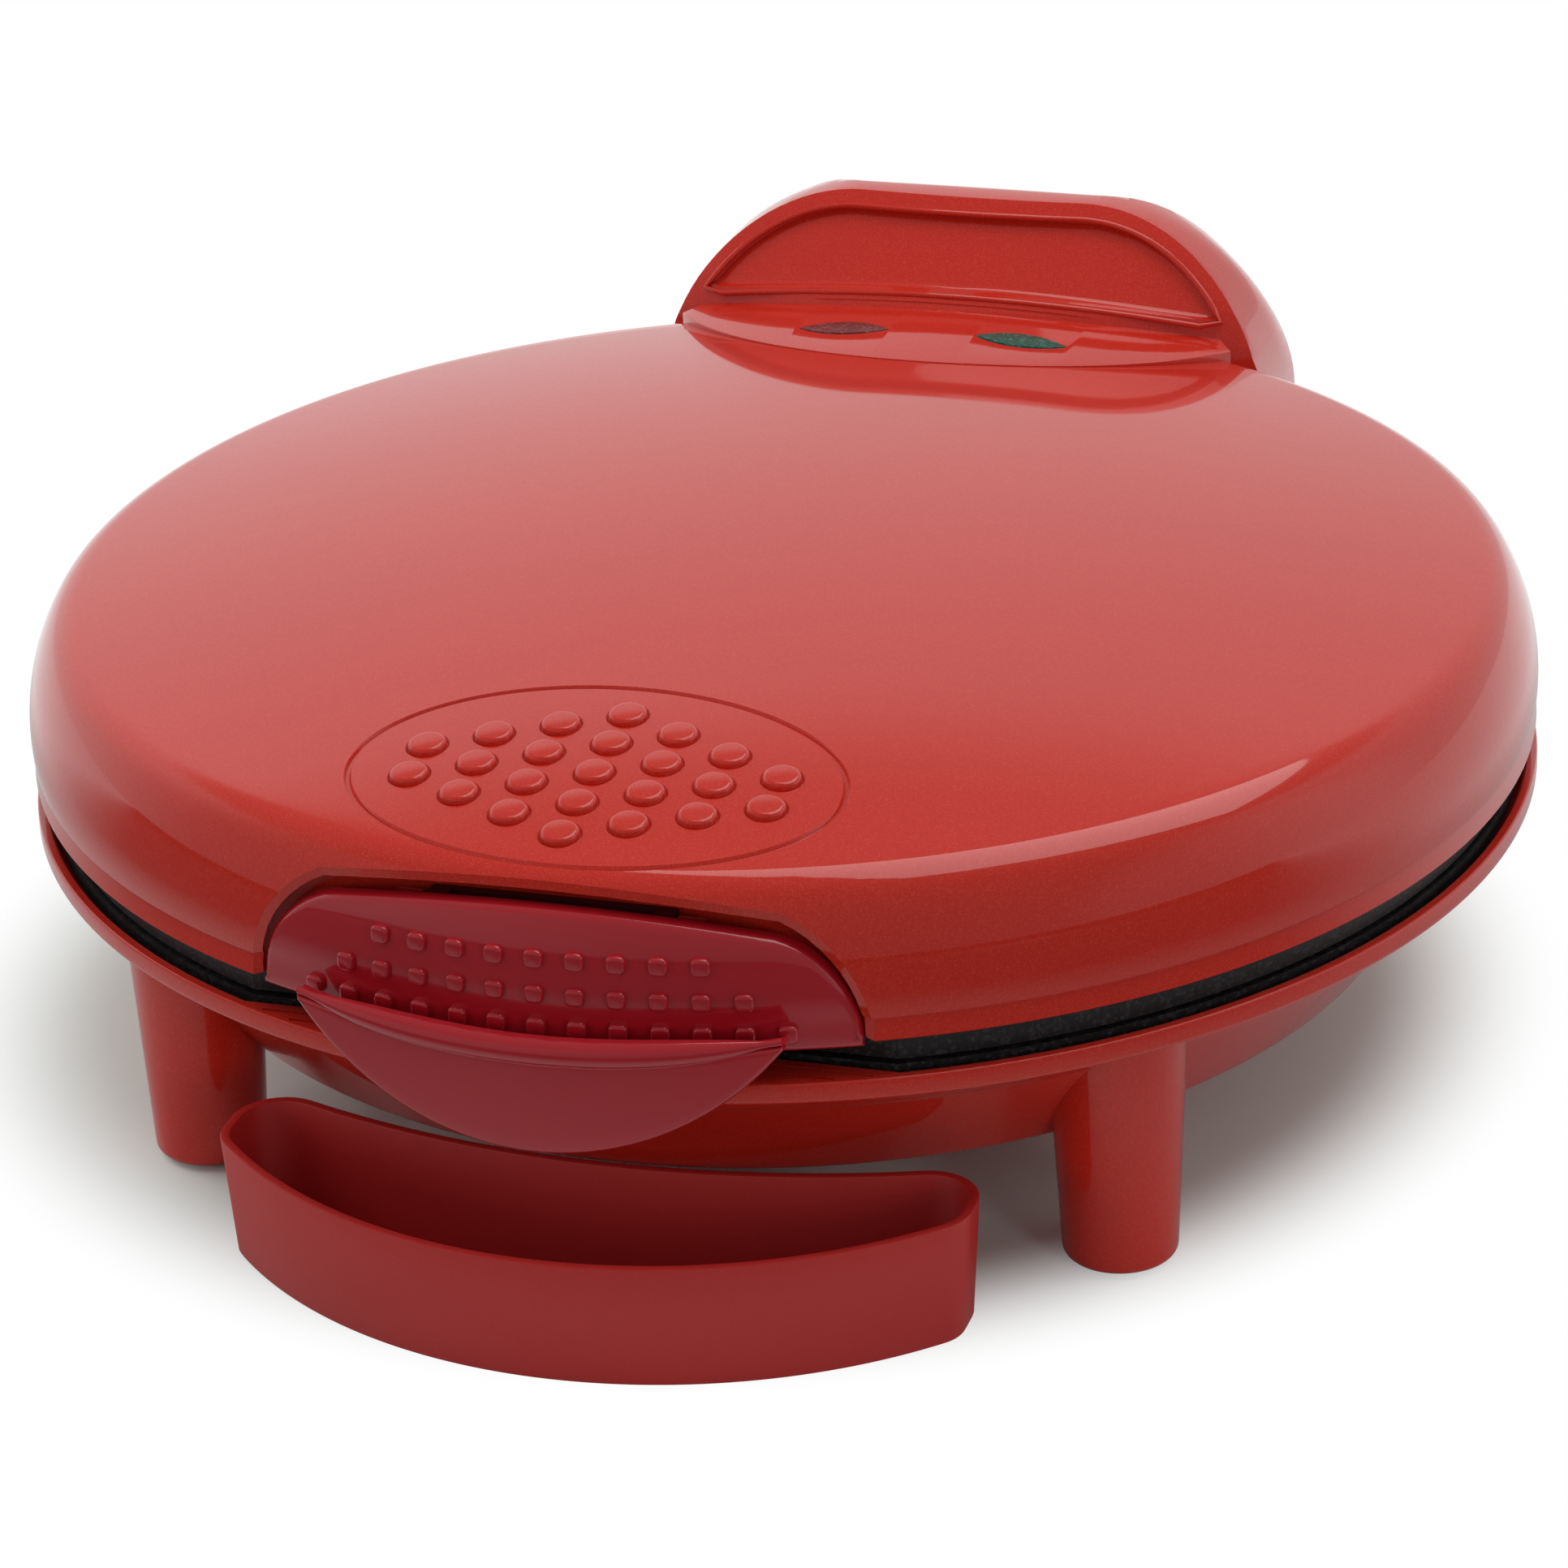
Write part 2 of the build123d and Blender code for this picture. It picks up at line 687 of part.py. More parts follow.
def pull_bead():
    """Round bead swept along the top of the apron, with rounded ends."""
    with BuildPart() as form:
        with BuildLine() as path:
            ThreePointArc((-pull_half_width + pull_lip_radius, pull_end_y, pull_lip_end_height),
                          (0, pull_front_y + pull_lip_radius, pull_lip_height),
                          (pull_half_width - pull_lip_radius, pull_end_y, pull_lip_end_height))
        with BuildSketch(Plane(origin=path.line @ 0, z_dir=path.line % 0)):
            Circle(pull_lip_radius)
        sweep()
        with Locations(path.line @ 0, path.line @ 1):
            Sphere(pull_lip_radius)
    return form.part


def grip_dots():
    """Square bars running forwards at every grip dot of the latch."""
    with BuildPart() as form:
        for count, height in grip_rows:
            radius = skirt_radius(max(height, belly_height)) - latch_inset
            angles = [(index - (count - 1) / 2) * grip_pitch / radius for index in range(count)]
            with BuildSketch(Plane.XZ.offset(-recess_floor_y)):
                with Locations(*[(radius * sin(angle), height) for angle in angles]):
                    Rectangle(grip_dot, grip_dot)
            extrude(amount=hump_rear + recess_floor_y)
    return form.part


def lens_form():
    """Pointed lamp lens at x = 0: proud of the shelf above, flanged under it."""
    with BuildPart() as form:
        with BuildSketch(Plane.XY.offset(lens_foot)):
            with Locations((lens_x, lens_y)):
                add(marquise(lens_width, lens_depth))
        extrude(amount=shelf_height)
        with BuildSketch(Plane.XZ):
            with Locations((0, shelf_height - shelf_camber_radius)):
                Circle(shelf_camber_radius + lens_proud)
        extrude(amount=-hump_rear, mode=Mode.INTERSECT)
    with BuildPart() as flange:
        with BuildSketch(Plane.XY.offset(lens_foot)):
            with Locations((lens_x, lens_y)):
                add(marquise(lens_width + 2 * lens_flange, lens_depth + 2 * lens_flange))
        extrude(amount=shelf_height)
        with BuildSketch(Plane.XZ):
            with Locations((0, shelf_height - shelf_camber_radius)):
                Circle(shelf_camber_radius - lid_wall)
        extrude(amount=-hump_rear, mode=Mode.INTERSECT)
    with BuildPart() as lens:
        add(form.part)
        add(flange.part)
    return lens.part


def bulb_form():
    """Small indicator bulb standing on its holder, on the right-hand side."""
    with BuildPart() as form:
        add(rod((lens_x, lens_y, holder_height), (lens_x, lens_y, holder_height + bulb_length), bulb_radius))
        with Locations((lens_x, lens_y, holder_height + bulb_length)):
            Sphere(bulb_radius)
    return form.part


# ---------------------------------------------------------------- base housing
with BuildPart() as base_housing:
    add(bowl())
    # tapered legs, rounded at the floor
    with Locations(*[(x, y, foot_proud) for x, y in leg_places]):
        Cone(leg_bottom_radius, leg_top_radius, rim_top - foot_proud,
             align=(Align.CENTER, Align.CENTER, Align.MIN))
    fillet(base_housing.edges().filter_by(GeomType.CIRCLE).group_by(Axis.Z)[0], leg_edge)
    # ears that carry the hinge pin
    for side in (-1, 1):
        with BuildSketch(Plane.YZ.offset(side * ear_x - ear_width / 2)):
            with BuildLine():
                Polyline((bowl_radius, flare_height - ear_drop),
                         (flare_radius - ear_drop, flare_height - ear_drop),
                         (hinge_y + ear_run, hinge_z - ear_rise), (hinge_y, hinge_z),
                         (hinge_y - ear_run, hinge_z + ear_rise),
                         (flare_radius, rim_top), (bowl_radius, rim_top), close=True)
            make_face()
            with Locations((hinge_y, hinge_z)):
                Circle(hinge_eye_radius)
        extrude(amount=ear_width)
    # boss for the cord gland
    add(rod((0, bowl_radius, gland_height), (0, gland_rear_y, gland_height), gland_boss_radius))
    # hollow inside, with a straight ledge left at the front
    add(bowl(outer=False) & block((-rim_radius, rim_radius), (ledge_y, rim_radius), (0, 2 * rim_top)),
        mode=Mode.SUBTRACT)
    # catch under the lip for the latch
    add(block((-catch_half_width, catch_half_width), (-rim_radius, catch_depth - rim_radius),
              (catch_height, rim_top - rim_lip_height)) & turned((0, 0), (rim_radius, 0),
                                                                 (rim_radius, rim_top), (0, rim_top)))
    # drain from the plate's spout down to the tray
    add(block((-drain_half_width, drain_half_width), (ledge_y - drain_reach, ledge_y + 1),
              (plate_floor_height - drain_drop, 2 * rim_top)), mode=Mode.SUBTRACT)
    add(block((-drain_half_width, drain_half_width),
              (ledge_y - drain_reach, ledge_y - drain_reach + drain_slot), (bowl_bottom, rim_top)),
        mode=Mode.SUBTRACT)
    # two fine lines cut in the ledge
    for line_y in (ledge_y - line_pitch, ledge_y - 2 * line_pitch):
        line_reach = sqrt(rim_radius ** 2 - line_y ** 2) - line_pitch
        add(block((-line_reach, line_reach), (line_y, line_y + line_width),
                  (rim_top - line_width, 2 * rim_top)), mode=Mode.SUBTRACT)
    # posts that carry the reflector and the plate
    add(upright(post_places, bowl_floor - 1, reflector_height, post_radius))
    add(upright(post_places, bowl_floor - 1, post_top, post_neck_radius))
    add(upright(post_places, 0, post_top + 1, screw_radius + screw_clearance), mode=Mode.SUBTRACT)
    add(upright(post_places, 0, screw_seat, screw_head_radius + fit_gap), mode=Mode.SUBTRACT)
    # recesses for the rubber feet
    add(upright(leg_places, 0, foot_proud + foot_recess, foot_radius + fit_gap), mode=Mode.SUBTRACT)
    # ring of vent slots
    with BuildSketch(Plane.XY.offset(bowl_bottom - 1)):
        with PolarLocations(vent_orbit, vent_count):
            SlotOverall(vent_length, vent_width)
    extrude(amount=base_wall + 2, mode=Mode.SUBTRACT)
    # holes for hinge pin and cord gland
    add(rod((-rim_radius, hinge_y, hinge_z), (rim_radius, hinge_y, hinge_z),
            hinge_pin_radius + hinge_clearance), mode=Mode.SUBTRACT)
    add(rod((0, 0, gland_height), (0, hump_rear, gland_height), gland_radius + fit_gap)
        & block((-rim_radius, rim_radius), (gland_inner_y, hump_rear), (0, rim_top)), mode=Mode.SUBTRACT)
save(base_housing, "base_housing")

with BuildPart() as rubber_feet:
    add(upright(leg_places, 0, foot_proud + foot_recess, foot_radius))
    chamfer(rubber_feet.edges().group_by(Axis.Z)[0], foot_chamfer)
save(rubber_feet, "rubber_feet")

# ---------------------------------------------------------------- lower plate and its heater
with BuildPart() as lower_plate:
    add(plate_form(plate_lip_radius, lower_root_radius, lower_chord_y))
    # bosses standing on the housing's posts
    add(upright(post_places, post_top, plate_back, post_neck_radius))
    add(upright(post_places, post_top - 1, plate_back, screw_radius + thread_clearance), mode=Mode.SUBTRACT)
save(lower_plate, "lower_plate")

with BuildPart() as lower_plate_rim:
    add(plate_rim(plate_lip_radius, lower_lip_height, lower_root_radius, lower_chord_y))
    # spout into the drain of the ledge
    add(block((-spout_half_width, spout_half_width), (ledge_y - spout_reach, lower_chord_y),
              (plate_floor_height - spout_thickness, plate_floor_height)))
    add(block((-notch_half_width, notch_half_width), (-rim_radius, lower_chord_y + plate_lip_width),
              (plate_floor_height, plate_lip_top)), mode=Mode.SUBTRACT)
save(lower_plate_rim, "lower_plate_rim")

with BuildPart() as lower_plate_ridges:
    add(plate_ridges(plate_lip_radius, lower_lip_height, lower_root_radius, lower_chord_y))
save(lower_plate_ridges, "lower_plate_ridges")

with BuildPart() as lower_element:
    add(heater())
save(lower_element, "lower_element")

with BuildPart() as lower_reflector:
    add(turned((0, reflector_height), (reflector_radius, reflector_height),
               (reflector_radius + reflector_rim, reflector_height + reflector_rim),
               (reflector_radius + reflector_rim - reflector_sheet, reflector_height + reflector_rim),
               (reflector_radius - reflector_sheet / 2, reflector_height + reflector_sheet),
               (0, reflector_height + reflector_sheet)))
    add(upright(post_places, 0, rim_top, post_neck_radius + fit_gap), mode=Mode.SUBTRACT)
save(lower_reflector, "lower_reflector")

with BuildPart() as lower_plate_screws:
    add(screws(post_places, screw_seat, (0, 0, 1), plate_back - screw_seat - 1))
save(lower_plate_screws, "lower_plate_screws")

with BuildPart() as thermostat:
    add(upright([(0, thermostat_y)], plate_back - thermostat_height, plate_back, thermostat_radius))
    for side in (-1, 1):
        add(block((side * blade_x - blade_width / 2, side * blade_x + blade_width / 2),
                  (thermostat_y - blade_thickness / 2, thermostat_y + blade_thickness / 2),
                  (plate_back - thermostat_height - blade_length, plate_back - thermostat_height)))
save(thermostat, "thermostat")

with BuildPart() as thermal_fuse:
    add(block((-fuse_half_length, fuse_half_length), (-thermostat_y - fuse_radius, fuse_radius - thermostat_y),
              (plate_back - fuse_clip, plate_back)))
    add(rod((-fuse_half_length, -thermostat_y, plate_back - fuse_clip - fuse_radius / 2),
            (fuse_half_length, -thermostat_y, plate_back - fuse_clip - fuse_radius / 2), fuse_radius))
save(thermal_fuse, "thermal_fuse")

with BuildPart() as terminal_block:
    add(block((-terminal_half_width, terminal_half_width), (terminal_y, terminal_y + terminal_depth),
              (bowl_floor, bowl_floor + terminal_height)))
    with Locations((0, terminal_y + terminal_depth / 2, bowl_floor + terminal_height)):
        with GridLocations(terminal_pitch, 1, terminal_count, 1):
            Cylinder(terminal_bore, terminal_height, mode=Mode.SUBTRACT)
save(terminal_block, "terminal_block")

with BuildPart() as cord_gland:
    add(rod((0, gland_inner_y, gland_height), (0, gland_rear_y, gland_height), gland_radius))
    add(rod((0, gland_rear_y, gland_height), (0, gland_rear_y + gland_thickness, gland_height), gland_flange))
    add(rod((0, 0, gland_height), (0, hump_rear, gland_height), gland_bore), mode=Mode.SUBTRACT)
save(cord_gland, "cord_gland")

# ---------------------------------------------------------------- hinge
with BuildPart() as hinge_pin:
    add(rod((-hinge_pin_reach, hinge_y, hinge_z), (hinge_pin_reach, hinge_y, hinge_z), hinge_pin_radius))
save(hinge_pin, "hinge_pin")

with BuildPart() as hinge_clips:
    for side in (-1, 1):
        start = side * (ear_x + ear_width / 2)
        add(rod((start, hinge_y, hinge_z), (start + side * clip_thickness, hinge_y, hinge_z), clip_radius))
    add(rod((-rim_radius, hinge_y, hinge_z), (rim_radius, hinge_y, hinge_z),
            hinge_pin_radius + clip_clearance), mode=Mode.SUBTRACT)
save(hinge_clips, "hinge_clips")

# ---------------------------------------------------------------- lid housing
with BuildPart() as lid_housing:
    add(hump())
    fillet(lid_housing.edges().filter_by(lambda edge: edge.center().Z > shelf_height
                                         and edge.center().Y <= hump_brow_y), hump_edge)
    add(hump_panel(), mode=Mode.SUBTRACT)
    add(shelf())
    add(dome())
    # hollow inside, with a wall left behind the latch
    add(dome(lid_wall, lid_bottom - 1)
        - latch_outline(recess_gap + lid_wall, recess_headroom + lid_wall, bowl_bottom,
                        recess_floor_y + lid_wall), mode=Mode.SUBTRACT)
    add(shelf(lid_wall), mode=Mode.SUBTRACT)
    add(hump(lid_wall, lid_bottom - 1), mode=Mode.SUBTRACT)
    # recess for the latch
    add(latch_outline(recess_gap, recess_headroom, bowl_bottom), mode=Mode.SUBTRACT)
    # grip pad: groove and dots
    add(pad_ring() - dome(pad_groove_depth), mode=Mode.SUBTRACT)
    add(upright(pad_places, crease_height, lid_crown, pad_dot_radius) & dome(-pad_dot_height))
    # posts for the upper plate
    add(upright(upper_places, upper_joint + reflector_sheet, lid_crown, upper_post_radius)
        & dome(lid_wall / 2))
    add(upright(upper_places, upper_joint, upper_joint + upper_screw_reach, screw_radius + thread_clearance),
        mode=Mode.SUBTRACT)
    # knuckles on the hinge pin, with ribs up into the hump
    for side in (-1, 1):
        x_range = (side * knuckle_x - knuckle_width / 2, side * knuckle_x + knuckle_width / 2)
        add(rod((x_range[0], hinge_y, hinge_z), (x_range[1], hinge_y, hinge_z), hinge_eye_radius))
        add(block(x_range, (hinge_y - hinge_eye_radius, hinge_y + hinge_eye_radius), (hinge_z, hump_top))
            & hump(lid_wall / 2, hinge_z))
    add(rod((-rim_radius, hinge_y, hinge_z), (rim_radius, hinge_y, hinge_z),
            hinge_pin_radius + hinge_clearance), mode=Mode.SUBTRACT)
    # thickened wall, seat, opening and bosses for the rear cover
    frame_width = cover_width + cover_margin
    frame_height = cover_height + cover_margin
    add(block((-frame_width / 2, frame_width / 2), (cover_seat_y - lid_wall, hump_rear - 1),
              (cover_centre_z - frame_height / 2, cover_centre_z + frame_height / 2)))
    add(block((-cover_width / 2 - fit_gap, cover_width / 2 + fit_gap), (cover_seat_y, hump_rear + 1),
              (cover_centre_z - cover_height / 2 - fit_gap, cover_centre_z + cover_height / 2 + fit_gap)),
        mode=Mode.SUBTRACT)
    opening = cover_height / 2 - cover_margin
    add(block((cover_margin * 2 - cover_width / 2, cover_width / 2 - cover_margin * 2),
              (cover_seat_y - cover_margin, hump_rear), (cover_centre_z - opening, cover_centre_z + opening)),
        mode=Mode.SUBTRACT)
    for x, z in cover_places:
        add(rod((x, cover_seat_y - cover_boss, z), (x, cover_seat_y - 1, z), cover_boss_radius))
        add(rod((x, cover_seat_y - cover_boss - 1, z), (x, cover_seat_y + 1, z),
                small_screw_radius + thread_clearance), mode=Mode.SUBTRACT)
    # lens windows and bosses for the lamp holder
    with BuildSketch(Plane.XY.offset(lid_bottom)):
        with Locations((lens_x, lens_y), (-lens_x, lens_y)):
            add(marquise(lens_width + 2 * fit_gap, lens_depth + 2 * fit_gap))
    extrude(amount=lid_bottom, mode=Mode.SUBTRACT)
    add(upright(holder_places, holder_height, shelf_height - lid_wall, holder_boss_radius))
    add(upright(holder_places, holder_height, shelf_height - 2 * lid_wall,
                small_screw_radius + thread_clearance), mode=Mode.SUBTRACT)
    # screw holes for the latch bracket
    for x, z in bracket_places:
        add(rod((x, recess_floor_y - 1, z), (x, recess_floor_y + bracket_screw_reach, z),
                small_screw_radius + thread_clearance), mode=Mode.SUBTRACT)
save(lid_housing, "lid_housing")

with BuildPart() as rear_cover:
    add(block((-cover_width / 2, cover_width / 2), (cover_seat_y, cover_seat_y + cover_thickness),
              (cover_centre_z - cover_height / 2, cover_centre_z + cover_height / 2)))
    fillet(rear_cover.edges().filter_by(Axis.Y), cover_corner)
    for x, z in cover_places:
        add(rod((x, 0, z), (x, hump_rear, z), small_screw_radius + screw_clearance), mode=Mode.SUBTRACT)
save(rear_cover, "rear_cover")

with BuildPart() as rear_cover_screws:
    for x, z in cover_places:
        seat = cover_seat_y + cover_thickness
        add(rod((x, cover_seat_y - cover_boss + 1, z), (x, seat, z), small_screw_radius))
        add(rod((x, seat, z), (x, seat + small_head_height, z), small_head_radius))
save(rear_cover_screws, "rear_cover_screws")

# ---------------------------------------------------------------- upper plate and its heater
with BuildPart() as upper_plate:
    add(plate_form(upper_lip_radius, upper_root_radius, upper_chord_y))
    add(upright(upper_places, mirrored(upper_joint), plate_back, upper_post_radius))
    add(upright(upper_places, mirrored(upper_joint) - 1, plate_floor_height + 1,
                screw_radius + screw_clearance), mode=Mode.SUBTRACT)
    add(upright(upper_places, upper_head_seat, plate_floor_height + 1, screw_head_radius + fit_gap),
        mode=Mode.SUBTRACT)
    mirror(about=Plane.XY.offset(closing_plane), mode=Mode.REPLACE)
save(upper_plate, "upper_plate")

with BuildPart() as upper_plate_rim:
    add(plate_rim(upper_lip_radius, upper_skirt_height, upper_root_radius, upper_chord_y))
    mirror(about=Plane.XY.offset(closing_plane), mode=Mode.REPLACE)
save(upper_plate_rim, "upper_plate_rim")

with BuildPart() as upper_plate_ridges:
    add(plate_ridges(upper_lip_radius, upper_skirt_height, upper_root_radius, upper_chord_y))
    mirror(about=Plane.XY.offset(closing_plane), mode=Mode.REPLACE)
save(upper_plate_ridges, "upper_plate_ridges")

with BuildPart() as upper_element:
    add(heater())
    mirror(about=Plane.XY.offset(closing_plane), mode=Mode.REPLACE)
save(upper_element, "upper_element")

with BuildPart() as upper_reflector:
    add(turned((0, upper_reflector_height), (upper_reflector_inner, upper_reflector_height),
               (upper_reflector_foot, upper_joint), (upper_reflector_radius, upper_joint),
               (upper_reflector_radius, upper_joint + reflector_sheet),
               (upper_reflector_foot, upper_joint + reflector_sheet),
               (upper_reflector_inner, upper_reflector_height + reflector_sheet),
               (0, upper_reflector_height + reflector_sheet)))
    add(block((-rim_radius, rim_radius), (-rim_radius, upper_chord_y), (0, lid_crown)), mode=Mode.SUBTRACT)
    add(upright(upper_places, 0, lid_crown, screw_radius + screw_clearance), mode=Mode.SUBTRACT)
save(upper_reflector, "upper_reflector")

with BuildPart() as upper_plate_screws:
    add(screws(upper_places, mirrored(upper_head_seat), (0, 0, 1),
               upper_joint + upper_screw_reach - mirrored(upper_head_seat) - 1))
save(upper_plate_screws, "upper_plate_screws")

# ---------------------------------------------------------------- lamps
with BuildPart() as ready_lens:
    add(lens_form())
save(ready_lens, "ready_lens")

with BuildPart() as power_lens:
    add(mirror(lens_form(), about=Plane.YZ, mode=Mode.PRIVATE))
save(power_lens, "power_lens")

with BuildPart() as lamp_holder:
    add(block((-holder_half_width, holder_half_width), (lens_y - holder_depth / 2, lens_y + holder_depth / 2),
              (holder_height - holder_thickness, holder_height)))
    add(upright(holder_places, 0, lid_crown, small_screw_radius + screw_clearance), mode=Mode.SUBTRACT)
save(lamp_holder, "lamp_holder")

with BuildPart() as lamp_holder_screws:
    for x, y in holder_places:
        seat = holder_height - holder_thickness
        add(rod((x, y, seat), (x, y, seat + holder_screw_length), small_screw_radius))
        add(rod((x, y, seat - small_head_height), (x, y, seat), small_head_radius))
save(lamp_holder_screws, "lamp_holder_screws")

with BuildPart() as ready_bulb:
    add(bulb_form())
save(ready_bulb, "ready_bulb")

with BuildPart() as power_bulb:
    add(mirror(bulb_form(), about=Plane.YZ, mode=Mode.PRIVATE))
save(power_bulb, "power_bulb")

# ---------------------------------------------------------------- latch
with BuildPart() as latch:
    # curved front panel
    add((latch_outline(floor_y=recess_floor_y - latch_back_gap) & dome(latch_inset, latch_bottom))
        - dome(latch_inset + latch_wall, latch_bottom - 1))
    # finger pull: a curved apron with a round bead along its top
    add(pull_apron()
        - turned((0, 0), (pull_inner_radius, 0), (pull_inner_radius, latch_bottom), (0, latch_bottom))
        - dome(latch_inset + latch_wall, latch_bottom))
    add(pull_bead())
    # tooth that hooks under the catch
    add(block((-tooth_half_width, tooth_half_width), (-pull_inner_radius - 1, tooth_edge_y),
              (catch_height - tooth_gap - tooth_height, catch_height - tooth_gap)))
    # grip dots
    add((grip_dots() & dome(latch_inset - grip_dot_height, latch_bottom))
        - dome(latch_inset + latch_wall / 2, latch_bottom - 1))
    # lugs on the pin
    for side in (-1, 1):
        x_range = (side * latch_lug_x - latch_lug_width / 2, side * latch_lug_x + latch_lug_width / 2)
        add(rod((x_range[0], latch_pivot_y, latch_pivot_z), (x_range[1], latch_pivot_y, latch_pivot_z),
                latch_lug_radius))
        add(block(x_range, (-rim_radius, latch_pivot_y),
                  (latch_pivot_z - latch_lug_radius, latch_pivot_z + latch_lug_radius))
            & dome(latch_inset + latch_wall / 2, latch_bottom))
    add(rod((-latch_pin_length, latch_pivot_y, latch_pivot_z), (latch_pin_length, latch_pivot_y, latch_pivot_z),
            latch_pin_radius + latch_clearance), mode=Mode.SUBTRACT)
save(latch, "latch")

with BuildPart() as latch_pin:
    add(rod((-latch_pin_length / 2, latch_pivot_y, latch_pivot_z),
            (latch_pin_length / 2, latch_pivot_y, latch_pivot_z), latch_pin_radius))
save(latch_pin, "latch_pin")

with BuildPart() as latch_bracket:
    add(block((-bracket_x - bracket_width / 2, bracket_x + bracket_width / 2),
              (recess_floor_y - bracket_sheet, recess_floor_y),
              (bracket_foot, latch_pivot_z + latch_lug_radius)))
    for side in (-1, 1):
        x_range = (side * bracket_x - bracket_width / 2, side * bracket_x + bracket_width / 2)
        add(rod((x_range[0], latch_pivot_y, latch_pivot_z), (x_range[1], latch_pivot_y, latch_pivot_z),
                latch_lug_radius))
        add(block(x_range, (latch_pivot_y, recess_floor_y),
                  (latch_pivot_z - latch_lug_radius, latch_pivot_z + latch_lug_radius)))
    add(rod((-latch_pin_length, latch_pivot_y, latch_pivot_z), (latch_pin_length, latch_pivot_y, latch_pivot_z),
            latch_pin_radius + latch_clearance), mode=Mode.SUBTRACT)
    for x, z in bracket_places:
        add(rod((x, -rim_radius, z), (x, 0, z), small_screw_radius + screw_clearance), mode=Mode.SUBTRACT)
save(latch_bracket, "latch_bracket")

with BuildPart() as latch_bracket_screws:
    for x, z in bracket_places:
        seat = recess_floor_y - bracket_sheet
        add(rod((x, seat, z), (x, recess_floor_y + bracket_screw_reach - thread_clearance, z),
                small_screw_radius))
        add(rod((x, seat - small_head_height, z), (x, seat, z), small_head_radius))
save(latch_bracket_screws, "latch_bracket_screws")

# ---------------------------------------------------------------- drip tray
def tray_outline(inset=0.0):
    """Plan of the tray at the rim: bowed front, back edge following the bowl."""
    half = tray_half_length - inset
    front_centre_y = tray_front_y + tray_front_radius
    back_centre_y = tray_back_y + tray_back_radius
    front_end = front_centre_y - sqrt((tray_front_radius - inset) ** 2 - half ** 2)
    back_end = back_centre_y - sqrt((tray_back_radius + inset) ** 2 - half ** 2)
    with BuildSketch(Plane.XY.offset(tray_height)) as plan:
        with BuildLine():
            ThreePointArc((-half, front_end), (0, tray_front_y + inset), (half, front_end))
            Line((half, front_end), (half, back_end))
            ThreePointArc((half, back_end), (0, tray_back_y - inset), (-half, back_end))
            Line((-half, back_end), (-half, front_end))
        make_face()
        fillet(plan.vertices(), tray_corner - inset)
    return plan.sketch


with BuildPart() as drip_tray:
    extrude(tray_outline(), amount=-tray_height, taper=tray_draft)
    extrude(tray_outline(tray_wall), amount=-(tray_height - tray_floor), taper=tray_draft, mode=Mode.SUBTRACT)
save(drip_tray, "drip_tray")
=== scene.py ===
"""Looks of a round countertop quesadilla maker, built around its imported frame.

Sizes are in millimetres, +Z up, front towards -Y, on the frame's own axes. A finished mesh is
scaled to metres, with its object at the origin.
"""

import json
import logging
import math
from collections.abc import Callable, Sequence
from dataclasses import dataclass, field
from enum import Enum

import bmesh
import bpy
from mathutils import Matrix, Vector


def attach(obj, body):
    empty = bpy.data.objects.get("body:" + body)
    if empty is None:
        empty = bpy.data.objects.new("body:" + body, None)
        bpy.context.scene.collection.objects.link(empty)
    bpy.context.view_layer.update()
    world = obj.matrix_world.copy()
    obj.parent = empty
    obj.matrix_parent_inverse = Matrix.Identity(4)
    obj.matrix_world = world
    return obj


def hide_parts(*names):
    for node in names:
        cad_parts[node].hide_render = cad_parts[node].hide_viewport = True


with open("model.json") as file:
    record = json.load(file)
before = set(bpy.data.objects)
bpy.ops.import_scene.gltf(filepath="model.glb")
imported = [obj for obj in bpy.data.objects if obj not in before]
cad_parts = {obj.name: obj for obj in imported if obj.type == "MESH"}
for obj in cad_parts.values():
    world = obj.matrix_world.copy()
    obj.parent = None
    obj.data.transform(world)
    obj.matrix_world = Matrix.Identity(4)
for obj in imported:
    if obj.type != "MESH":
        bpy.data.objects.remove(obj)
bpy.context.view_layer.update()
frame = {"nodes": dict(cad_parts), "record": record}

MM = 0.001
SMOOTH_LIMIT = math.radians(28)
Point = tuple[float, float]
Colour = tuple[float, float, float]
log = logging.getLogger("quesadilla_maker")


class Axis(Enum):
    """Direction in which an outline is drawn out into a prism."""

    X = "x"
    Y = "y"
    Z = "z"


class Blend(Enum):
    """How two closed forms are combined."""

    JOIN = "UNION"
    CUT = "DIFFERENCE"
    KEEP = "INTERSECT"


# ------------------------------------------------------------------ outlines
def arc(centre: Point, radius: float, start: float, end: float, steps: int) -> list[Point]:
    """Points along a circular arc.

    Args:
        centre: Centre of the circle.
        radius: Its radius.
        start: First angle in degrees.
        end: Last angle in degrees.
        steps: Number of chords.

    Returns:
        The points, both ends included.
    """
    turns = [math.radians(start + (end - start) * i / steps) for i in range(steps + 1)]
    return [(centre[0] + radius * math.cos(t), centre[1] + radius * math.sin(t)) for t in turns]


def circle_through(first: Point, middle: Point, last: Point) -> tuple[Point, float]:
    """Circle through three points.

    Args:
        first: One point of the circle.
        middle: Another point.
        last: A third point.

    Returns:
        Centre and radius.
    """
    (ax, ay), (bx, by), (cx, cy) = first, middle, last
    d = 2 * (ax * (by - cy) + bx * (cy - ay) + cx * (ay - by))
    ux = ((ax**2 + ay**2) * (by - cy) + (bx**2 + by**2) * (cy - ay) + (cx**2 + cy**2) * (ay - by)) / d
    uy = ((ax**2 + ay**2) * (cx - bx) + (bx**2 + by**2) * (ax - cx) + (cx**2 + cy**2) * (bx - ax)) / d
    return (ux, uy), math.hypot(ax - ux, ay - uy)


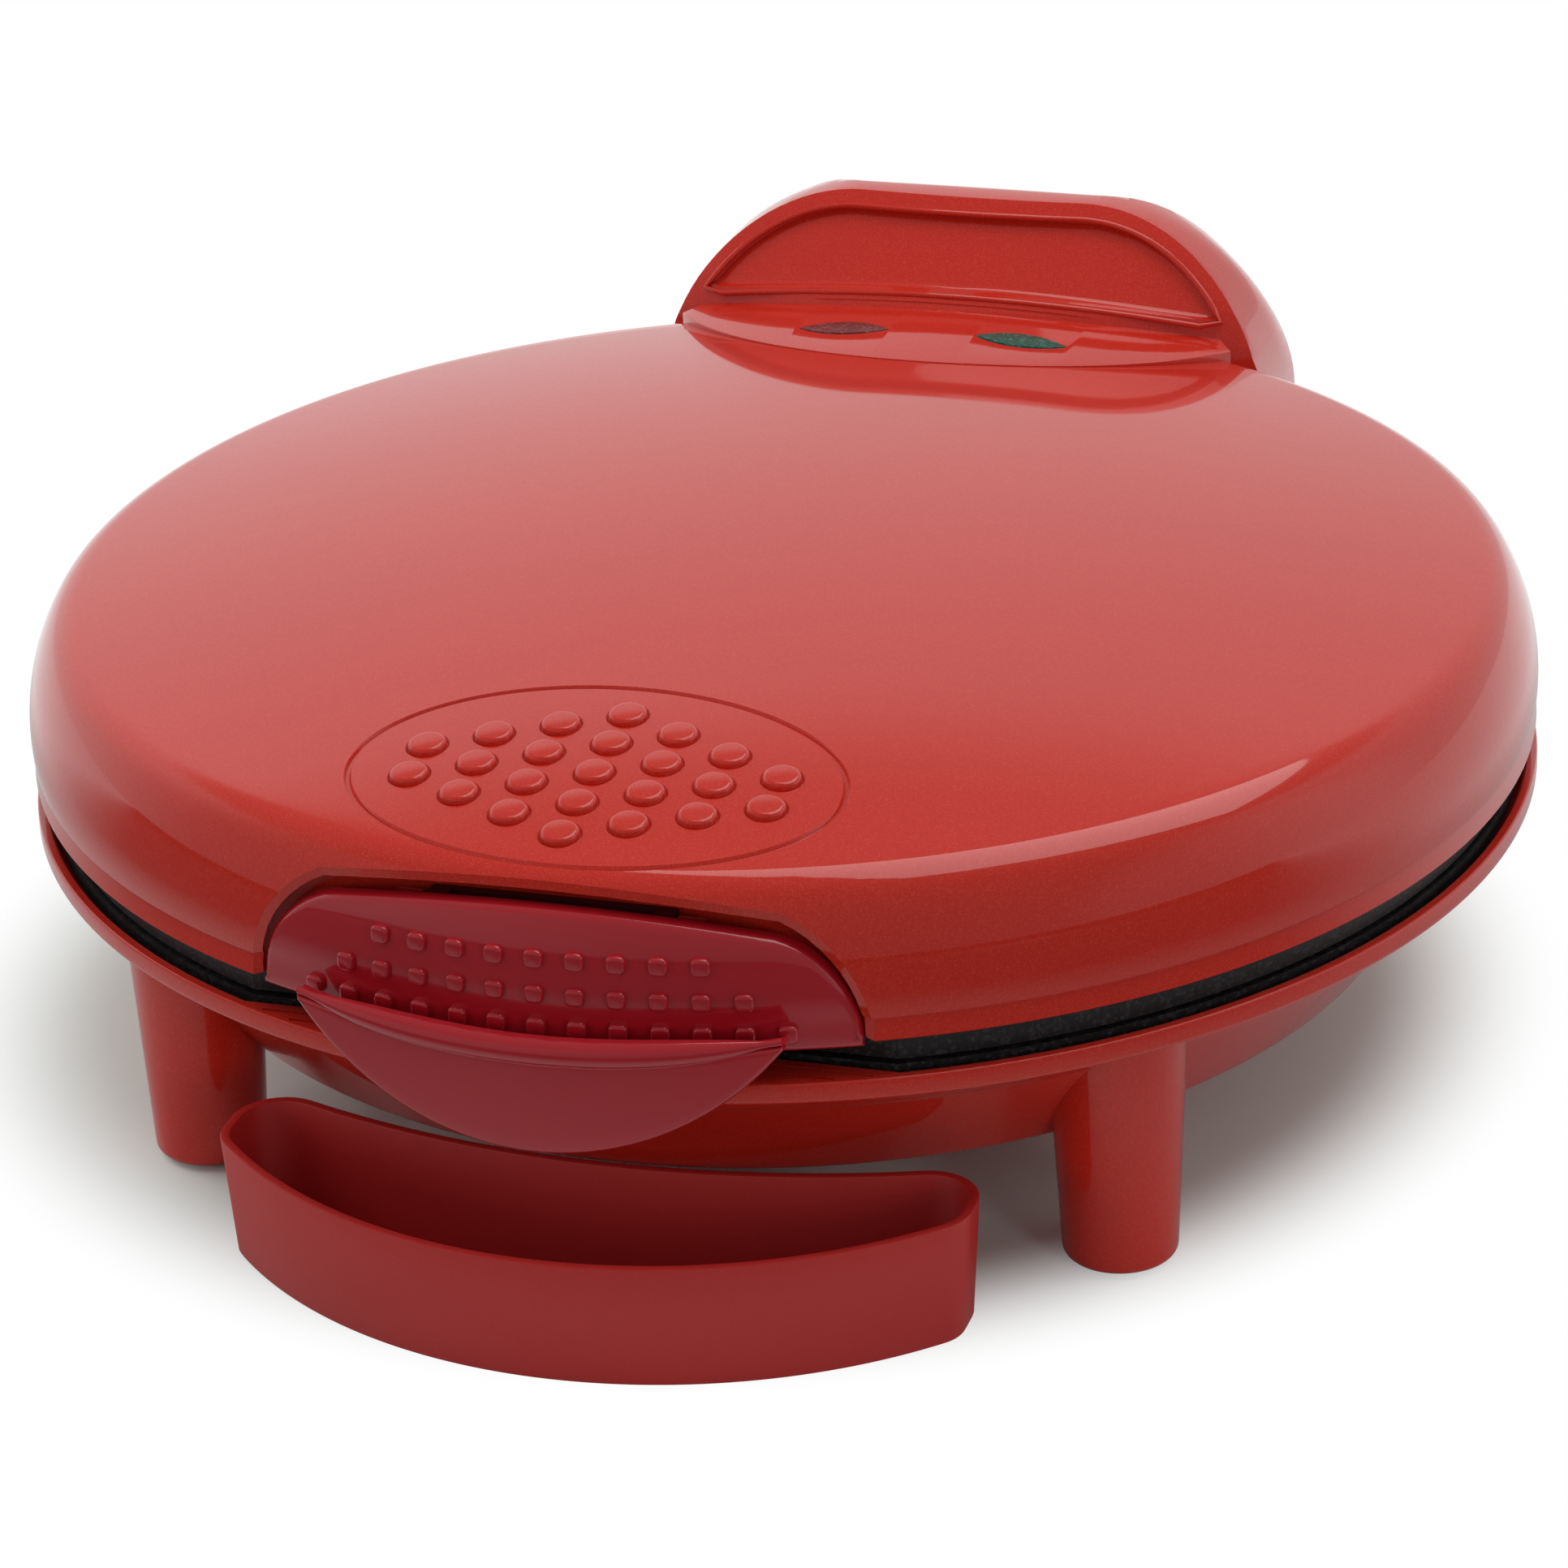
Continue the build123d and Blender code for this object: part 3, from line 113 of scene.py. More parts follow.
def bow(first: Point, middle: Point, last: Point, steps: int) -> list[Point]:
    """Points along the arc from first to last that passes through middle.

    Args:
        first: Start of the arc.
        middle: A point on the way.
        last: End of the arc.
        steps: Number of chords.

    Returns:
        The points, both ends included.
    """
    centre, radius = circle_through(first, middle, last)
    angles = [math.degrees(math.atan2(p[1] - centre[1], p[0] - centre[0])) for p in (first, middle, last)]
    start, via, end = angles[0], (angles[1] - angles[0]) % 360, (angles[2] - angles[0]) % 360
    sweep = end if via <= end else end - 360
    return arc(centre, radius, start, start + sweep, steps)


def rounded(points: Sequence[Point], radii: Sequence[float], steps: int = 6) -> list[Point]:
    """Open outline with its inner corners rounded.

    Args:
        points: Corners of the outline.
        radii: Radius at each corner, 0 to leave it sharp.
        steps: Chords in each rounding.

    Returns:
        The outline with arcs in place of the corners.
    """
    out: list[Point] = []
    for i, (point, radius) in enumerate(zip(points, radii)):
        if not radius:
            out.append(point)
            continue
        here = Vector(point)
        back = (Vector(points[i - 1]) - here).normalized()
        ahead = (Vector(points[(i + 1) % len(points)]) - here).normalized()
        half = back.angle(ahead) / 2
        centre = here + (back + ahead).normalized() * (radius / math.sin(half))
        start = here + back * (radius / math.tan(half)) - centre
        turn = start.angle_signed(here + ahead * (radius / math.tan(half)) - centre)
        for step in range(steps + 1):
            angle = -turn * step / steps
            out.append((centre.x + start.x * math.cos(angle) - start.y * math.sin(angle),
                        centre.y + start.x * math.sin(angle) + start.y * math.cos(angle)))
    return out


def mirrored(points: Sequence[Point]) -> list[Point]:
    """The right-hand half of an outline, followed by its left-hand half."""
    return list(points) + [(-x, y) for x, y in reversed(points) if abs(x) > 1e-6]


def moved_out(outline: Sequence[Point], distance: float) -> list[Point]:
    """Closed counter-clockwise outline moved outwards, or inwards for a negative distance.

    Args:
        outline: The points.
        distance: How far each edge is moved.

    Returns:
        As many points as before.
    """
    out: list[Point] = []
    for i, point in enumerate(outline):
        before = (Vector(point) - Vector(outline[i - 1])).normalized()
        after = (Vector(outline[(i + 1) % len(outline)]) - Vector(point)).normalized()
        normal = Vector((before.y + after.y, -before.x - after.x)).normalized()
        stretch = max(normal.dot(Vector((after.y, -after.x))), 0.4)
        out.append((point[0] + normal.x * distance / stretch, point[1] + normal.y * distance / stretch))
    return out


# ------------------------------------------------------------------ forms
class Form:
    """A mesh under construction, in millimetres, shaped by bmesh operators."""

    def __init__(self) -> None:
        """Start with nothing."""
        self.bm = bmesh.new()

    def wire(self, points: Sequence[Sequence[float]], closed: bool = True) -> list[bmesh.types.BMEdge]:
        """Add a chain of edges.

        Args:
            points: Places of the vertices.
            closed: Whether the last one joins the first.

        Returns:
            The new edges.
        """
        verts = [self.bm.verts.new(p) for p in points]
        pairs = list(zip(verts, verts[1:])) + ([(verts[-1], verts[0])] if closed else [])
        return [self.bm.edges.new(pair) for pair in pairs]

    @classmethod
    def turned(cls, profile: Sequence[Point], steps: int = 192, closed: bool = False) -> "Form":
        """Surface of revolution about Z.

        Args:
            profile: Points as (radius, height).
            steps: Segments round the axis.
            closed: Whether the profile is a closed ring.

        Returns:
            The turned form.
        """
        form = cls()
        edges = form.wire([(r, 0.0, z) for r, z in profile], closed)
        verts = list({v for e in edges for v in e.verts})
        bmesh.ops.spin(form.bm, geom=verts + edges, cent=(0, 0, 0), axis=(0, 0, 1), dvec=(0, 0, 0),
                       angle=math.tau, steps=steps, use_merge=True, use_duplicate=False)
        bmesh.ops.remove_doubles(form.bm, verts=form.bm.verts, dist=1e-4)
        bmesh.ops.recalc_face_normals(form.bm, faces=form.bm.faces)
        return form

    @classmethod
    def prism(cls, outline: Sequence[Point], axis: Axis, low: float, high: float) -> "Form":
        """Closed prism over an outline.

        Args:
            outline: Points in the plane across the axis, in X, Y, Z order.
            axis: Direction of the prism.
            low: Where it starts.
            high: Where it ends.

        Returns:
            The prism.
        """
        form = cls()
        place = {Axis.X: lambda u, v: (low, u, v), Axis.Y: lambda u, v: (u, low, v),
                 Axis.Z: lambda u, v: (u, v, low)}[axis]
        edges = form.wire([place(u, v) for u, v in outline])
        faces = bmesh.ops.contextual_create(form.bm, geom=edges)["faces"]
        moved = bmesh.ops.extrude_face_region(form.bm, geom=faces)["geom"]
        way = {Axis.X: Vector((1, 0, 0)), Axis.Y: Vector((0, 1, 0)), Axis.Z: Vector((0, 0, 1))}[axis]
        bmesh.ops.translate(form.bm, vec=way * (high - low),
                            verts=[g for g in moved if isinstance(g, bmesh.types.BMVert)])
        bmesh.ops.recalc_face_normals(form.bm, faces=form.bm.faces)
        return form

    @classmethod
    def block(cls, low: Sequence[float], high: Sequence[float]) -> "Form":
        """Plain box between two corners, for joining or cutting."""
        form = cls()
        middle = (Vector(low) + Vector(high)) / 2
        sides = Vector(high) - Vector(low)
        matrix = Matrix.Translation(middle) @ Matrix.Diagonal((*sides, 1))
        bmesh.ops.create_cube(form.bm, size=1, matrix=matrix)
        return form

    @classmethod
    def rod(cls, start: Sequence[float], end: Sequence[float], radius: float, end_radius: float | None = None,
            steps: int = 48) -> "Form":
        """Round or tapered bar from one point to another."""
        form = cls()
        way = Vector(end) - Vector(start)
        turn = Vector((0, 0, 1)).rotation_difference(way).to_matrix().to_4x4()
        matrix = Matrix.Translation(Vector(start) + way / 2) @ turn
        bmesh.ops.create_cone(form.bm, cap_ends=True, segments=steps, radius1=radius,
                              radius2=radius if end_radius is None else end_radius,
                              depth=way.length, matrix=matrix)
        return form

    def take(self, *others: "Form") -> "Form":
        """Add the meshes of other forms as they are."""
        for other in others:
            mesh = bpy.data.meshes.new("part")
            other.bm.to_mesh(mesh)
            self.bm.from_mesh(mesh)
            bpy.data.meshes.remove(mesh)
        return self

    def _stand_in(self, name: str) -> bpy.types.Object:
        """Temporary object with this mesh."""
        mesh = bpy.data.meshes.new(name)
        self.bm.to_mesh(mesh)
        obj = bpy.data.objects.new(name, mesh)
        bpy.context.scene.collection.objects.link(obj)
        return obj

    def combine(self, other: "Form", how: Blend) -> "Form":
        """Join, cut or keep with another closed form.

        Args:
            other: The tool.
            how: What is done with it.

        Returns:
            This form, changed.
        """
        target, tool = self._stand_in("target"), other._stand_in("tool")
        modifier = target.modifiers.new("combine", "BOOLEAN")
        modifier.operation, modifier.solver, modifier.object = how.value, "EXACT", tool
        graph = bpy.context.evaluated_depsgraph_get()
        mesh = bpy.data.meshes.new_from_object(target.evaluated_get(graph))
        self.bm.clear()
        self.bm.from_mesh(mesh)
        bpy.data.meshes.remove(mesh)
        for obj in (target, tool):
            bpy.data.meshes.remove(obj.data)
        return self

    def join(self, other: "Form") -> "Form":
        """Union with a closed form."""
        return self.combine(other, Blend.JOIN)

    def cut(self, other: "Form") -> "Form":
        """Difference with a closed form."""
        return self.combine(other, Blend.CUT)

    def keep(self, other: "Form") -> "Form":
        """Intersection with a closed form."""
        return self.combine(other, Blend.KEEP)

    def trim(self, point: Sequence[float], normal: Sequence[float], cap: bool = True) -> "Form":
        """Cut off what lies on the side of a plane that its normal points to.

        Args:
            point: A point of the plane.
            normal: Its normal.
            cap: Whether the opening is closed again.

        Returns:
            This form, changed.
        """
        geom = self.bm.verts[:] + self.bm.edges[:] + self.bm.faces[:]
        rim = bmesh.ops.bisect_plane(self.bm, geom=geom, dist=1e-4, plane_co=point, plane_no=normal,
                                     clear_outer=True)["geom_cut"]
        edges = [g for g in rim if isinstance(g, bmesh.types.BMEdge)]
        if cap and edges:
            bmesh.ops.edgeloop_fill(self.bm, edges=edges)
            bmesh.ops.recalc_face_normals(self.bm, faces=self.bm.faces)
        return self

    def slice(self, point: Sequence[float], normal: Sequence[float]) -> "Form":
        """Divide the faces along a plane."""
        geom = self.bm.verts[:] + self.bm.edges[:] + self.bm.faces[:]
        bmesh.ops.bisect_plane(self.bm, geom=geom, dist=1e-4, plane_co=point, plane_no=normal)
        return self

    def round_edges(self, width: float, segments: int, chosen: Callable[[bmesh.types.BMEdge], bool]) -> "Form":
        """Round the chosen edges.

        Args:
            width: Distance from the edge at which the rounding starts.
            segments: Its segments.
            chosen: Says of an edge whether it is rounded.

        Returns:
            This form, changed.
        """
        edges = [e for e in self.bm.edges if len(e.link_faces) == 2 and chosen(e)]
        bmesh.ops.bevel(self.bm, geom=edges, offset=width, offset_type="OFFSET", segments=segments,
                        profile=0.5, affect="EDGES", clamp_overlap=True, loop_slide=True, material=-1)
        return self

    def loft(self, rings: Sequence[Sequence[Sequence[float]]], caps: bool = True) -> "Form":
        """Skin over closed rings of equal length, in order, with the ends closed.

        Args:
            rings: Rings of points.
            caps: Whether the first and last ring get a face.

        Returns:
            This form, changed.
        """
        wires = [self.wire(ring) for ring in rings]
        for lower, upper in zip(wires, wires[1:]):
            bmesh.ops.bridge_loops(self.bm, edges=lower + upper)
        if caps:
            for wire in (wires[0], wires[-1]):
                bmesh.ops.contextual_create(self.bm, geom=wire)
        bmesh.ops.recalc_face_normals(self.bm, faces=self.bm.faces)
        return self

    def finish(self, name: str, body: str, slot: str, material: bpy.types.Material,
               replaces: Sequence[str] = (), limit: float = SMOOTH_LIMIT) -> bpy.types.Object:
        """Make the form an object that rides on a body.

        Args:
            name: Name of the piece.
            body: Body that it rides on.
            slot: Material slot of the record; not used.
            material: Its finish.
            replaces: Nodes that it stands for.
            limit: Edges with a larger angle stay sharp.

        Returns:
            The new object.
        """
        bmesh.ops.remove_doubles(self.bm, verts=self.bm.verts, dist=2e-3)
        bmesh.ops.dissolve_degenerate(self.bm, edges=self.bm.edges, dist=1e-3)
        bmesh.ops.scale(self.bm, vec=(MM, MM, MM), verts=self.bm.verts)
        for face in self.bm.faces:
            face.smooth = True
        for edge in self.bm.edges:
            edge.smooth = len(edge.link_faces) == 2 and edge.calc_face_angle(0.0) < limit
        mesh = bpy.data.meshes.new(name)
        self.bm.to_mesh(mesh)
        self.bm.free()
        mesh.materials.append(material)
        obj = bpy.data.objects.new(name, mesh)
        bpy.context.scene.collection.objects.link(obj)
        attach(obj, body)
        if replaces:
            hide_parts(*replaces)
        log.info("%s: %d faces on %s", name, len(mesh.polygons), body)
        return obj


def shield(upper: Sequence[Point], lower: Sequence[Point],
           place: Callable[[float, float, float], tuple[float, float, float]], wall: float, rounding: float,
           rows: int = 8, segments: int = 5) -> Form:
    """Closed curved panel with a rounded rim.

    Args:
        upper: Upper edge in front view, from right to left, as (x, z).
        lower: Lower edge, point for point under the upper one.
        place: Gives the spot for a point of the front view at a depth below the outer face.
        wall: Thickness.
        rounding: Radius of the rim.
        rows: Rows of faces between the edges.
        segments: Faces round the rim.

    Returns:
        The panel.
    """
    outline = list(upper) + list(reversed(lower))
    count = len(upper)
    form = Form()
    rings = []
    for step in range(segments + 1):
        angle = math.radians(90 * step / segments)
        ring = moved_out(outline, -rounding * (1 - math.sin(angle)))
        rings.append([place(x, z, rounding * (1 - math.cos(angle))) for x, z in ring])
    rings.append([place(x, z, wall) for x, z in outline])
    form.loft(rings, caps=False)
    for ring, depth in ((moved_out(outline, -rounding), 0.0), (outline, wall)):
        over, under = ring[:count], list(reversed(ring[count:]))
        chains = []
        for row in range(rows + 1):
            share = row / rows
            chains.append(form.wire([place(a[0] + (b[0] - a[0]) * share, a[1] + (b[1] - a[1]) * share, depth)
                                     for a, b in zip(over, under)], closed=False))
        for first, second in zip(chains, chains[1:]):
            bmesh.ops.bridge_loops(form.bm, edges=first + second)
    bmesh.ops.remove_doubles(form.bm, verts=form.bm.verts, dist=1e-3)
    bmesh.ops.holes_fill(form.bm, edges=[e for e in form.bm.edges if e.is_boundary], sides=0)
    bmesh.ops.recalc_face_normals(form.bm, faces=form.bm.faces)
    if form.bm.calc_volume(signed=True) < 0:
        bmesh.ops.reverse_faces(form.bm, faces=form.bm.faces)
    return form


# ------------------------------------------------------------------ shared effects
class Effects:
    """Shader node groups that several finishes place with their own values."""

    def __init__(self) -> None:
        """Build each group once."""
        self.flake = self._flake()
        self.skin = self._skin()
        self.dust = self._dust()

    @staticmethod
    def _group(name: str, inputs: Sequence[tuple[str, str, object]], outputs: Sequence[tuple[str, str]]) -> tuple:
        """New group with its sockets and its input and output nodes.

        Args:
            name: Name of the group.
            inputs: Name, socket type and default of each input.
            outputs: Name and socket type of each output.

        Returns:
            The tree, its input node and its output node.
        """
        tree = bpy.data.node_groups.new(name, "ShaderNodeTree")
        for label, kind, default in inputs:
            tree.interface.new_socket(name=label, in_out="INPUT", socket_type=kind).default_value = default
        for label, kind in outputs:
            tree.interface.new_socket(name=label, in_out="OUTPUT", socket_type=kind)
        return tree, tree.nodes.new("NodeGroupInput"), tree.nodes.new("NodeGroupOutput")

    def _flake(self) -> bpy.types.NodeTree:
        """Fine metallic flakes under a clear skin, with a slow drift of the colour."""
        tree, given, out = self._group(
            "metal_flake",
            [("Colour", "NodeSocketColor", (0.5, 0.02, 0.02, 1)), ("Flake", "NodeSocketColor", (0.9, 0.3, 0.2, 1)),
             ("Size", "NodeSocketFloat", 1800.0), ("Amount", "NodeSocketFloat", 0.3),
             ("Drift", "NodeSocketFloat", 0.1)],
            [("Colour", "NodeSocketColor"), ("Mask", "NodeSocketFloat")])
        link = tree.links.new
        place = tree.nodes.new("ShaderNodeTexCoord")
        cells = tree.nodes.new("ShaderNodeTexVoronoi")
        link(place.outputs["Object"], cells.inputs["Vector"])
        link(given.outputs["Size"], cells.inputs["Scale"])
        grey = tree.nodes.new("ShaderNodeSeparateColor")
        link(cells.outputs["Color"], grey.inputs["Color"])
        ramp = tree.nodes.new("ShaderNodeMapRange")
        ramp.inputs["From Min"].default_value = 0.62
        ramp.inputs["From Max"].default_value = 1.0
        link(grey.outputs["Red"], ramp.inputs["Value"])
        strength = tree.nodes.new("ShaderNodeMath")
        strength.operation = "MULTIPLY"
        link(ramp.outputs["Result"], strength.inputs[0])
        link(given.outputs["Amount"], strength.inputs[1])
        slow = tree.nodes.new("ShaderNodeTexNoise")
        slow.inputs["Scale"].default_value = 14.0
        slow.inputs["Detail"].default_value = 2.0
        link(place.outputs["Object"], slow.inputs["Vector"])
        shade = tree.nodes.new("ShaderNodeMapRange")
        link(slow.outputs["Fac"], shade.inputs["Value"])
        shade.inputs["From Min"].default_value = 0.3
        shade.inputs["From Max"].default_value = 0.7
        low = tree.nodes.new("ShaderNodeMath")
        low.operation = "SUBTRACT"
        low.inputs[0].default_value = 1.0
        link(given.outputs["Drift"], low.inputs[1])
        link(low.outputs[0], shade.inputs["To Min"])
        shade.inputs["To Max"].default_value = 1.0
        base = tree.nodes.new("ShaderNodeMix")
        base.data_type, base.blend_type = "RGBA", "MULTIPLY"
        base.inputs["Factor"].default_value = 1.0
        link(given.outputs["Colour"], base.inputs[6])
        link(shade.outputs["Result"], base.inputs[7])
        mix = tree.nodes.new("ShaderNodeMix")
        mix.data_type = "RGBA"
        link(strength.outputs[0], mix.inputs["Factor"])
        link(base.outputs[2], mix.inputs[6])
        link(given.outputs["Flake"], mix.inputs[7])
        link(mix.outputs[2], out.inputs["Colour"])
        link(strength.outputs[0], out.inputs["Mask"])
        return tree

    def _skin(self) -> bpy.types.NodeTree:
        """Moulded skin: a height for a bump and an uneven roughness."""
        tree, given, out = self._group(
            "moulded_skin",
            [("Grain", "NodeSocketFloat", 900.0), ("Wave", "NodeSocketFloat", 40.0),
             ("Grain share", "NodeSocketFloat", 0.5), ("Roughness", "NodeSocketFloat", 0.3),
             ("Spread", "NodeSocketFloat", 0.05)],
            [("Height", "NodeSocketFloat"), ("Roughness", "NodeSocketFloat")])
        link = tree.links.new
        place = tree.nodes.new("ShaderNodeTexCoord")
        fine = tree.nodes.new("ShaderNodeTexNoise")
        fine.inputs["Detail"].default_value = 3.0
        wave = tree.nodes.new("ShaderNodeTexNoise")
        wave.inputs["Detail"].default_value = 1.0
        for noise, size in ((fine, "Grain"), (wave, "Wave")):
            link(place.outputs["Object"], noise.inputs["Vector"])
            link(given.outputs[size], noise.inputs["Scale"])
        mix = tree.nodes.new("ShaderNodeMix")
        link(given.outputs["Grain share"], mix.inputs["Factor"])
        link(wave.outputs["Fac"], mix.inputs[2])
        link(fine.outputs["Fac"], mix.inputs[3])
        link(mix.outputs[0], out.inputs["Height"])
        centred = tree.nodes.new("ShaderNodeMath")
        centred.operation = "SUBTRACT"
        centred.inputs[1].default_value = 0.5
        link(fine.outputs["Fac"], centred.inputs[0])
        rough = tree.nodes.new("ShaderNodeMath")
        rough.operation = "MULTIPLY_ADD"
        link(centred.outputs[0], rough.inputs[0])
        link(given.outputs["Spread"], rough.inputs[1])
        link(given.outputs["Roughness"], rough.inputs[2])
        link(rough.outputs[0], out.inputs["Roughness"])
        return tree

    def _dust(self) -> bpy.types.NodeTree:
        """Faint specks of dust as a mask."""
        tree, given, out = self._group(
            "dust", [("Density", "NodeSocketFloat", 0.1), ("Size", "NodeSocketFloat", 500.0)],
            [("Mask", "NodeSocketFloat")])
        link = tree.links.new
        place = tree.nodes.new("ShaderNodeTexCoord")
        noise = tree.nodes.new("ShaderNodeTexNoise")
        noise.inputs["Detail"].default_value = 4.0
        link(place.outputs["Object"], noise.inputs["Vector"])
        link(given.outputs["Size"], noise.inputs["Scale"])
        ramp = tree.nodes.new("ShaderNodeMapRange")
        ramp.inputs["From Min"].default_value = 0.62
        ramp.inputs["From Max"].default_value = 0.78
        link(noise.outputs["Fac"], ramp.inputs["Value"])
        scale = tree.nodes.new("ShaderNodeMath")
        scale.operation = "MULTIPLY"
        link(ramp.outputs["Result"], scale.inputs[0])
        link(given.outputs["Density"], scale.inputs[1])
        link(scale.outputs[0], out.inputs["Mask"])
        return tree


# ------------------------------------------------------------------ finishes
@dataclass(frozen=True)
class Finish:
    """One moulded, coated or metal surface.

    Attributes:
        name: Name of the material.
        colour: Base colour, linear.
        flake: Colour of the flakes, specks or worn spots.
        amount: How strongly they show.
        flake_size: Cells per metre.
        drift: How far the colour darkens in slow patches.
        roughness: Middle roughness.
        spread: How uneven the roughness is.
        grain: Fine bump, waves per metre.
        wave: Slow bump, waves per metre.
        grain_share: Share of the fine bump.
        bump: Height of the bump in millimetres.
        metallic: 0 for plastic, 1 for metal.
        coat: Weight of the clear skin.
        coat_roughness: Its roughness.
        ior: Index of refraction.
        specular: Level of the reflection under the clear skin.
        dust: Density of the dust specks.
        clear: How far light passes through.
    """

    name: str
    colour: Colour
    flake: Colour = (0.8, 0.8, 0.8)
    amount: float = 0.0
    flake_size: float = 1800.0
    drift: float = 0.08
    roughness: float = 0.35
    spread: float = 0.08
    grain: float = 900.0
    wave: float = 40.0
    grain_share: float = 0.5
    bump: float = 0.02
    metallic: float = 0.0
    coat: float = 0.0
    coat_roughness: float = 0.05
    ior: float = 1.5
    specular: float = 0.5
    dust: float = 0.0
    clear: float = 0.0

    def material(self, effects: Effects) -> bpy.types.Material:
        """Build the material.

        Args:
            effects: The shared node groups.

        Returns:
            The new material.
        """
        material = bpy.data.materials.new(self.name)
        material.use_nodes = True
        tree = material.node_tree
        link = tree.links.new
        shader = tree.nodes["Principled BSDF"]
        shader.inputs["Metallic"].default_value = self.metallic
        shader.inputs["IOR"].default_value = self.ior
        shader.inputs["Specular IOR Level"].default_value = self.specular
        shader.inputs["Coat Weight"].default_value = self.coat
        shader.inputs["Coat Roughness"].default_value = self.coat_roughness
        shader.inputs["Transmission Weight"].default_value = self.clear
        flake = self._place(tree, effects.flake, {
            "Colour": (*self.colour, 1), "Flake": (*self.flake, 1), "Size": self.flake_size,
            "Amount": self.amount, "Drift": self.drift})
        skin = self._place(tree, effects.skin, {
            "Grain": self.grain, "Wave": self.wave, "Grain share": self.grain_share,
            "Roughness": self.roughness, "Spread": self.spread})
        dust = self._place(tree, effects.dust, {"Density": self.dust})
        soiled = tree.nodes.new("ShaderNodeMix")
        soiled.data_type = "RGBA"
        soiled.inputs[7].default_value = (0.55, 0.52, 0.48, 1)
        link(dust.outputs["Mask"], soiled.inputs["Factor"])
        link(flake.outputs["Colour"], soiled.inputs[6])
        link(soiled.outputs[2], shader.inputs["Base Color"])
        link(skin.outputs["Roughness"], shader.inputs["Roughness"])
        bump = tree.nodes.new("ShaderNodeBump")
        bump.inputs["Distance"].default_value = self.bump * MM
        link(skin.outputs["Height"], bump.inputs["Height"])
        link(bump.outputs["Normal"], shader.inputs["Normal"])
        return material

    @staticmethod
    def _place(tree: bpy.types.NodeTree, group: bpy.types.NodeTree, values: dict) -> bpy.types.Node:
        """Group node with its values set."""
        node = tree.nodes.new("ShaderNodeGroup")
        node.node_tree = group
        for label, value in values.items():
            node.inputs[label].default_value = value
        return node


@dataclass(frozen=True)
class Palette:
    """Every finish of the object, by material slot."""

    body_red: Finish = Finish("body_red", (0.58, 0.021, 0.010), flake=(0.90, 0.16, 0.10), amount=0.16,
                              flake_size=4200.0, drift=0.04, roughness=0.38, spread=0.08, grain=500.0, wave=30.0,
                              grain_share=0.25, bump=0.008, metallic=0.0, coat=1.0, coat_roughness=0.05,
                              specular=0.06)
    cover_red: Finish = Finish("cover_red", (0.50, 0.020, 0.012), flake=(0.8, 0.2, 0.14), amount=0.15,
                               flake_size=3600.0, roughness=0.42, bump=0.03)
    latch_crimson: Finish = Finish("latch_crimson", (0.45, 0.010, 0.019), flake=(0.55, 0.03, 0.05), amount=0.05,
                                   drift=0.10, roughness=0.22, spread=0.08, grain=400.0, wave=55.0,
                                   grain_share=0.2, bump=0.02, coat=1.0, coat_roughness=0.06, specular=0.25)
    tray_red: Finish = Finish("tray_red", (0.50, 0.024, 0.022), flake=(0.60, 0.06, 0.06), amount=0.10,
                              roughness=0.42, spread=0.10, grain=1500.0, bump=0.03)
    plate_black: Finish = Finish("plate_black", (0.010, 0.010, 0.011), flake=(0.09, 0.09, 0.09), amount=0.35,
                                 flake_size=1500.0, roughness=0.42, spread=0.2, grain=2200.0, bump=0.05)
    heater_steel: Finish = Finish("heater_steel", (0.28, 0.26, 0.24), roughness=0.5, metallic=1.0, drift=0.3)
    reflector: Finish = Finish("reflector", (0.80, 0.80, 0.80), roughness=0.28, metallic=1.0, wave=20.0, bump=0.05)
    screw_steel: Finish = Finish("screw_steel", (0.60, 0.60, 0.60), roughness=0.35, metallic=1.0, drift=0.2)
    pin_steel: Finish = Finish("pin_steel", (0.64, 0.64, 0.65), roughness=0.25, metallic=1.0)
    thermostat_steel: Finish = Finish("thermostat_steel", (0.48, 0.46, 0.43), roughness=0.4, metallic=1.0)
    terminal_plastic: Finish = Finish("terminal_plastic", (0.72, 0.69, 0.62), roughness=0.5)
    holder_plastic: Finish = Finish("holder_plastic", (0.10, 0.008, 0.010), roughness=0.55)
    gland_plastic: Finish = Finish("gland_plastic", (0.020, 0.020, 0.020), roughness=0.5)
    foot_rubber: Finish = Finish("foot_rubber", (0.025, 0.025, 0.026), roughness=0.8, bump=0.08, dust=0.3)
    lens_red: Finish = Finish("lens_red", (0.16, 0.020, 0.020), flake=(0.45, 0.16, 0.15), amount=0.35,
                              roughness=0.32, wave=900.0, bump=0.30, specular=0.35)
    lens_green: Finish = Finish("lens_green", (0.008, 0.075, 0.050), flake=(0.10, 0.38, 0.28), amount=0.35,
                                roughness=0.32, wave=900.0, bump=0.30, specular=0.35)
    bulb_glass: Finish = Finish("bulb_glass", (0.9, 0.88, 0.85), roughness=0.05, clear=0.9, amount=0.0, drift=0.0)


